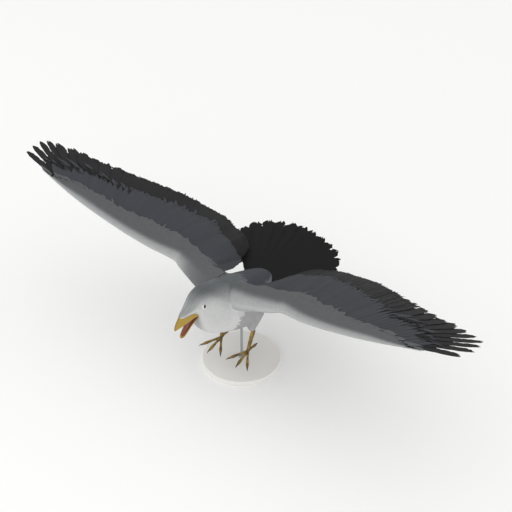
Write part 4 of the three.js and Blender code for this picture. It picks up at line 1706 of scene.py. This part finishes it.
@dataclass
class Bill:
    """Both halves of the bill, the lining of the open mouth and the tongue."""

    upper_start: tuple[float, float] = (-181, 283)
    upper_length: float = 79
    upper_drop: float = 0.17
    upper_deep: Curve = Curve(
        (0, 14), (0.3, 22), (0.6, 29), (0.74, 29.4), (0.85, 23), (0.92, 18.4), (0.975, 11.6), (1, 2),
    )
    upper_wide: Curve = Curve(
        (0, 20), (0.1, 18), (0.25, 14), (0.4, 12), (0.58, 9.8), (0.72, 7.6), (0.86, 5), (0.95, 3), (1, 1),
    )
    lower_start: tuple[float, float] = (-182, 281)
    lower_length: float = 74
    lower_pitch: float = 0.7
    lower_deep: Curve = Curve(
        (0, 9), (0.5, 7.6), (0.74, 9.2), (0.92, 6.8), (1, 2.4),
    )
    lower_wide: Curve = Curve(
        (0, 18), (0.1, 16.5), (0.3, 13), (0.56, 10), (0.85, 7.4), (0.95, 5.4), (1, 2.4),
    )
    hollow: float = 0.45
    tongue_wide: Curve = Curve((0, 6.5), (0.4, 5.2), (0.8, 3.2), (1, 0.8))
    nostril: tuple[float, float, float] = (6.7, -239, 285.5)
    nostril_tilt: float = 0.35
    nostril_size: tuple[float, float] = (4.0, 1.1)
    nostril_deep: float = 2.2

    def upper_point(self, along: np.ndarray, turn: np.ndarray) -> np.ndarray:
        """Find points on the upper half.

        Args:
            along: 0 at the face and 1 at the tip.
            turn: the angle round it, 0 at its left rim and a quarter turn at the ridge.

        Returns:
            Points in millimetres.
        """
        up = np.sin(turn)
        height = np.where(up > 0, self.upper_deep(along) * up, 1.4 * up)
        narrow = np.where(up > 0, np.sqrt(1 - 0.25 * up * up), 1)
        y = self.upper_start[0] - self.upper_length * along
        z = self.upper_start[1] - self.upper_drop * self.upper_length * along + height
        return np.stack([self.upper_wide(along) * np.cos(turn) * narrow, y, z], -1)

    def over_rim(self, along: np.ndarray, x: np.ndarray, height: np.ndarray) -> np.ndarray:
        """Find points by their height over the line of the lower rims.

        Args:
            along: 0 at the face and 1 at the tip.
            x: places along X in millimetres.
            height: how far they are over the rims.

        Returns:
            Points in millimetres.
        """
        run, fall = math.cos(self.lower_pitch), math.sin(self.lower_pitch)
        s = self.lower_length * along
        y = self.lower_start[0] - s * run - height * fall
        z = self.lower_start[1] - s * fall + height * run
        return np.stack([x, y + 0 * x, z + 0 * x], -1)

    def lower_point(self, along: np.ndarray, turn: np.ndarray) -> np.ndarray:
        """Find points on the lower half, which is hollow on top.

        Args:
            along: 0 at the face and 1 at the tip.
            turn: the angle round it, 0 at its left rim.

        Returns:
            Points in millimetres.
        """
        up, side = np.sin(turn), np.cos(turn)
        deep = self.lower_deep(along)
        trough = self.hollow * (1 - side * side) * deep
        return self.over_rim(along, self.lower_wide(along) * side, np.where(up > 0, -trough * up, deep * up))

    def lining_point(self, along: np.ndarray, turn: np.ndarray) -> np.ndarray:
        """Find points on the lining, which folds back from the palate to the lower trough.

        Args:
            along: 0 at the palate's front end and 1 at the trough's.
            turn: the angle round the thin sheet.

        Returns:
            Points in millimetres.
        """
        side = np.cos(turn)
        lift = 0.35 * np.sin(turn)
        fold = 0.5
        up, low = np.clip((fold - along) / fold, 0, 1), np.clip((along - fold) / fold, 0, 1)
        far_up, far_low = 0.06 + 0.74 * up, 0.06 + 0.86 * low
        rim = self.upper_point(far_up, np.zeros_like(along))
        x_up = (self.upper_wide(far_up) - 1.6) * side
        palate = np.stack([x_up, rim[:, 1], rim[:, 2] - 1.9 + 1.2 * (1 - side**2) + lift], -1)
        x_low = (self.lower_wide(far_low) - 2.3) * side
        trough = 0.6 - self.hollow * (1 - side**2) * self.lower_deep(far_low)
        return np.where((along < fold)[:, None], palate, self.over_rim(far_low, x_low, trough + lift))

    def tongue_point(self, along: np.ndarray, turn: np.ndarray) -> np.ndarray:
        """Find points on the tongue, which has a groove along its middle.

        Args:
            along: 0 at its root and 1 at its tip.
            turn: the angle round it.

        Returns:
            Points in millimetres.
        """
        up, side = np.sin(turn), np.cos(turn)
        lift = 0.4 + 1.6 * up + 1.8 * along * (1 - along)
        groove = 0.5 * np.exp(-((side / 0.2) ** 2)) * (up > 0)
        return self.over_rim(mix(0.05, 0.74, along), self.tongue_wide(along) * side, lift - groove)

    def horn_marking(self, points: np.ndarray, tint: Tint) -> np.ndarray:
        """Colour the horn: its own tint at the tip, browner at the base and darker along the ridge.

        Args:
            points: places in millimetres.
            tint: the tip's colour.

        Returns:
            Linear colours.
        """
        base = ease((points[:, 1] + 215) / 30)[:, None]
        # painted shade: the horn is darker along the ridge
        ridge = 1 - 0.35 * ease((3.6 - np.abs(points[:, 0])) / 3)[:, None]
        return mix(linear(tint), linear(Tint.BILL_BASE), base) * ridge

    def nostrils(self, obj: bpy.types.Object) -> None:
        """Press a slit into each side of the upper half.

        Args:
            obj: the upper half.
        """
        points = read_vertices(obj) / MM
        tilt, (long, high) = self.nostril_tilt, self.nostril_size
        for side, _ in SIDES:
            off = points - np.multiply(self.nostril, (side, 1, 1))
            lengthwise = off[:, 1] * math.cos(tilt) + off[:, 2] * math.sin(tilt)
            crosswise = off[:, 2] * math.cos(tilt) - off[:, 1] * math.sin(tilt)
            near = np.exp(-((lengthwise / long) ** 2) - (crosswise / high) ** 2) * (np.abs(off[:, 0]) < 5)
            points[:, 0] -= side * self.nostril_deep * near
        place_vertices(obj, points * MM)

    def build(self) -> list[bpy.types.Object]:
        """Build and dress the bill and mouth.

        Returns:
            The pieces.
        """
        horn = Horn()
        upper = loft("bill_upper_horn", 90, 72, self.upper_point)
        self.nostrils(upper)
        lower = loft("bill_lower_horn", 60, 48, self.lower_point)
        for piece, node, tint in ((upper, "bill_upper", Tint.BILL), (lower, "bill_lower", Tint.BILL_LOWER)):
            set_marking(piece, self.horn_marking(read_vertices(piece) / MM, tint))
            horn.on(smooth(piece))
            ride(piece, "bill_horn", node)
        lining = smooth(loft("mouth_lining", 60, 24, self.lining_point))
        # the lining turns towards the lightened throat colour: painted light against the shade deep in the
        # mouth
        Wet("mouth lining", Tint.MOUTH, Tint.THROAT, -0.183).on(lining)
        ride(lining, "mouth_skin")
        tongue = smooth(loft("tongue_skin", 30, 28, self.tongue_point))
        Wet("tongue", Tint.TONGUE, Tint.MOUTH, -0.19).on(tongue)
        ride(tongue, "mouth_skin", "tongue")
        return [upper, lower, lining, tongue]


@dataclass
class Eyes:
    """Both eyes and their lids."""

    centre: tuple[float, float, float] = (22.9, -176.9, 307)
    gaze: tuple[float, float, float] = (0.93, 0.16, 0.2)
    radius: float = 7
    pupil: float = 4.9
    iris: float = 6.6

    def build(self) -> list[bpy.types.Object]:
        """Build and dress the eyes.

        Returns:
            The pieces.
        """
        centre, gaze = np.array(self.centre), unit(np.array(self.gaze))
        glass = EyeGlass(centre * MM, gaze, self.pupil * MM, self.iris * MM)
        rim = Plain("eyelid skin", Tint.LID, 0.6, 900.0, 0.0003)
        pieces = []
        for side, word in SIDES:
            ball = fresh(
                f"eyeball_{word}",
                bpy.ops.mesh.primitive_uv_sphere_add,
                segments=48,
                ring_count=24,
                radius=self.radius * MM,
                location=tuple(centre * (side, 1, 1) * MM),
            )
            glass.on(smooth(ball))
            lids = smooth(loft(f"lids_{word}", 48, 16, self.lid_point, side))
            rim.on(lids)
            pieces += [ride(ball, "eye", f"eye_{word}"), ride(lids, "eye")]
        return pieces

    def lid_point(self, along: np.ndarray, turn: np.ndarray) -> np.ndarray:
        """Find points on the left eye's lids, a ring that is heavier above than below.

        Args:
            along: share of the way round the eye.
            turn: angle round the ring's own section.

        Returns:
            Points in millimetres.
        """
        round_eye = along * 2 * math.pi
        above = np.maximum(0, np.sin(round_eye))
        thick = 0.95 + 0.35 * above
        ring = 6.45 - 0.5 * above + thick * np.cos(turn)
        off = 2.9 + 0.3 * above + thick * np.sin(turn)
        back, up = ring * np.cos(round_eye), ring * 0.96 * np.sin(round_eye)
        return np.stack([off + 0.28 * back - 0.2 * up, back, up], -1) + self.centre


# ---- Legs ----


@dataclass
class Legs:
    """Bare shanks, toes and claws."""

    shank_plates: int = 16
    toe_plates: int = 13
    # shares of a toe's length where its skin ends and its claw starts
    toe_end: float = 0.86
    claw_start: float = 0.8

    def shank_point(self, along: np.ndarray, turn: np.ndarray) -> np.ndarray:
        """Find points on the left shank, with overlapping plates down its front.

        Args:
            along: 0 at the hock and 1 at the sole.
            turn: the angle round it.

        Returns:
            Points in millimetres.
        """
        hock, sole = np.array(LEG.hock, float), np.array(LEG.sole, float)
        r = LEG.shank_radius
        base = limb([hock + (hock - sole) * 0.05, mix(hock, sole, 0.5), sole], [r + 1, r, r - 0.6])
        centre = middle(base, along)
        out = base(along, turn) - centre
        plate = (along * self.shank_plates) % 1
        front = np.clip(-unit(out)[:, 1], 0, 1)
        return centre + out * (1 + 0.07 * (plate - 0.5) * (0.3 + front))[:, None]

    def toe_point(self, toe: tuple, along: np.ndarray, turn: np.ndarray) -> np.ndarray:
        """Find points on one left toe without its claw.

        Args:
            toe: its end and its radius.
            along: 0 at the sole and 1 at its end.
            turn: the angle round it.

        Returns:
            Points in millimetres.
        """
        sole, end = np.array(LEG.sole, float), np.array(toe[:3], float)
        shares = np.linspace(0, 1, len(LEG.toe_shape))
        points = [mix(sole, end, t) + (0, 0, lift) for t, lift in zip(shares, LEG.toe_lift)]
        base = limb(points, np.array(LEG.toe_shape) * toe[3])
        centre = middle(base, along * self.toe_end)
        out = base(along * self.toe_end, turn) - centre
        plate = (along * self.toe_plates) % 1
        upper = np.clip(unit(out)[:, 2], 0, 1)
        taper = np.sqrt(np.clip(1 - ((along - 0.93) / 0.07).clip(0, 1) ** 2, 0, 1))
        return centre + out * ((1 + 0.1 * (plate - 0.5) * upper) * mix(0.55, 1, taper))[:, None]

    def claw_point(self, toe: tuple, along: np.ndarray, turn: np.ndarray) -> np.ndarray:
        """Find points on one left claw.

        Args:
            toe: the toe's end and its radius.
            along: 0 at the claw's root and 1 at its tip.
            turn: the angle round it.

        Returns:
            Points in millimetres.
        """
        sole, end = np.array(LEG.sole, float), np.array(toe[:3], float)
        start = mix(sole, end, self.claw_start) + (0, 0, 0.6)
        tip = end + (0, 0, -1.8)
        arch = mix(start, tip, 0.55) + (0, 0, 1.5)
        places = (start, arch, tip + unit(end - sole) * 0.5)
        return limb(places, (toe[3] * 0.62, toe[3] * 0.4, 0.12))(along, turn)

    def build(self) -> list[bpy.types.Object]:
        """Build and dress both legs.

        Returns:
            The pieces.
        """
        skin = LegSkin()
        horn = Plain("claw horn", Tint.CLAW, 0.4, 500.0, 0.0003)
        pieces = []
        for side, word in SIDES:
            shank = smooth(loft(f"shank_skin_{word}", 120, 28, self.shank_point, side))
            toes = [loft(f"toe_{word}", 80, 20, partial(self.toe_point, toe), side) for toe in LEG.toes]
            foot = smooth(join(f"toes_{word}", toes))
            claws = [loft(f"claw_{word}", 14, 14, partial(self.claw_point, toe), side) for toe in LEG.toes]
            nails = smooth(join(f"claws_{word}", claws))
            skin.on(shank, foot)
            horn.on(nails)
            pieces += [
                ride(shank, "leg_skin", f"shank_{word}"),
                ride(foot, "leg_skin", f"foot_{word}"),
                ride(nails, "leg_skin"),
            ]
        return pieces


# ---- Stand and studio ----


@dataclass
class Stand:
    """A round painted base and a steel rod."""

    radius: float = 105
    thick: float = 14
    rod: float = 3.5
    top: float = 176
    # the rod stands this deep in the base
    sunk: float = 2
    collar: float = 9
    collar_high: float = 6

    def turned(self, name: str, radius: float, low: float, high: float, bevel: float) -> bpy.types.Object:
        """Turn a disc or rod with rounded edges.

        Args:
            name: the piece's name.
            radius: its radius in millimetres.
            low: its underside's height.
            high: its top's height.
            bevel: its edges' radius.

        Returns:
            The piece.
        """
        obj = fresh(
            name,
            bpy.ops.mesh.primitive_cylinder_add,
            vertices=128,
            radius=radius * MM,
            depth=(high - low) * MM,
            location=(0, 0, (low + high) / 2 * MM),
        )
        apply_modifier(obj, "BEVEL", width=bevel * MM, segments=4, limit_method="ANGLE")
        alone(obj)
        bpy.ops.object.shade_smooth_by_angle(angle=math.radians(40))
        return obj

    def build(self) -> list[bpy.types.Object]:
        """Build and dress the stand.

        Returns:
            The pieces.
        """
        base = self.turned("stand_disc", self.radius, 0, self.thick, 2)
        rod = self.turned("stand_pin", self.rod, self.thick - self.sunk, self.top, 0.8)
        collar = self.turned("stand_collar", self.collar, self.thick, self.thick + self.collar_high, 1)
        Plain("satin paint", Tint.STAND, 0.35, 1500.0, 0.0001).on(base)
        Plain("brushed steel", Tint.STEEL, 0.32, 2500.0, 0.0001, metallic=1.0).on(rod, collar)
        ride(base, "stand_paint", "stand_base")
        ride(rod, "stand_steel", "stand_rod")
        ride(collar, "stand_steel")
        return [base, rod, collar]


@dataclass
class Studio:
    """The floor, soft lights and camera."""

    azimuth: float = 38.356
    elevation: float = 36.593
    distance: float = 3.4117
    look_at: tuple[float, float, float] = (0.07255, -0.030, 0.39817)
    lens: float = 97.1
    sensor: float = 36
    floor: float = 60
    daylight: float = 0.96
    # where the lamps point
    aim: tuple[float, float, float] = (0, 0, 0.25)

    def lamp(self, name: str, place: tuple[float, float, float], size: float, watts: float) -> None:
        """Hang a soft square light that faces the bird.

        Args:
            name: the light's name.
            place: where it hangs.
            size: its side in metres.
            watts: its power.
        """
        data = bpy.data.lights.new(name, "AREA")
        data.size, data.energy = size, watts
        lamp = bpy.data.objects.new(name, data)
        bpy.context.scene.collection.objects.link(lamp)
        lamp.location = place
        lamp.rotation_euler = (Vector(self.aim) - Vector(place)).to_track_quat("-Z", "Y").to_euler()

    def build(self) -> None:
        """Set up the studio."""
        scene = bpy.context.scene
        floor = fresh("floor", bpy.ops.mesh.primitive_plane_add, size=self.floor)
        Plain("matt floor", Tint.FLOOR, 0.9, 3000.0, 0.0001).on(floor)
        scene.world = bpy.data.worlds.new("studio")
        scene.world.use_nodes = True
        sky = scene.world.node_tree.nodes["Background"].inputs
        sky["Color"].default_value = (1, 1, 1, 1)
        sky["Strength"].default_value = self.daylight
        self.lamp("key", (1.6, -2.6, 1.6), 1.8, 12)
        self.lamp("fill", (-2.2, -1.4, 1.8), 2.0, 5)
        camera = bpy.data.objects.new("camera", bpy.data.cameras.new("camera"))
        scene.collection.objects.link(camera)
        camera.data.lens, camera.data.sensor_width = self.lens, self.sensor
        azimuth, elevation = math.radians(self.azimuth), math.radians(self.elevation)
        flat = math.cos(elevation)
        back = Vector((math.sin(azimuth) * flat, -math.cos(azimuth) * flat, math.sin(elevation)))
        camera.location = Vector(self.look_at) + back * self.distance
        camera.rotation_mode = "QUATERNION"
        camera.rotation_quaternion = (-back).to_track_quat("-Z", "Y")
        scene.camera = camera
        scene.view_settings.view_transform = "Standard"


# ---- Assembly ----


def main() -> None:
    """Build the bird piece by piece, then its stand and studio."""
    logging.basicConfig(level=logging.INFO, format="%(message)s")
    Studio().build()
    covert = Plumage("small feathers", 60.0, 0.75)
    quill = Plumage("flight feathers", 260.0, 0.6)
    maker = Skin()
    skin = maker.build()
    maker.dress(skin, Plumage("feathered skin", 1.0, 0.85, barbs=False))
    LOG.info("skin: %d faces", len(skin.data.polygons))
    BodyCoat().build(Guide.of_piece(skin), Plumage("body feathers", 60.0, 0.75, parting_shade=True))
    for side in (1, -1):
        WingPlumage(side).build(quill, covert)
    TailPlumage().build(quill)
    for group in (Bill(), Eyes(), Legs(), Stand()):
        for piece in group.build():
            LOG.info("%s: %d faces", piece.name, len(piece.data.polygons))


if __name__ == "__main__":
    main()
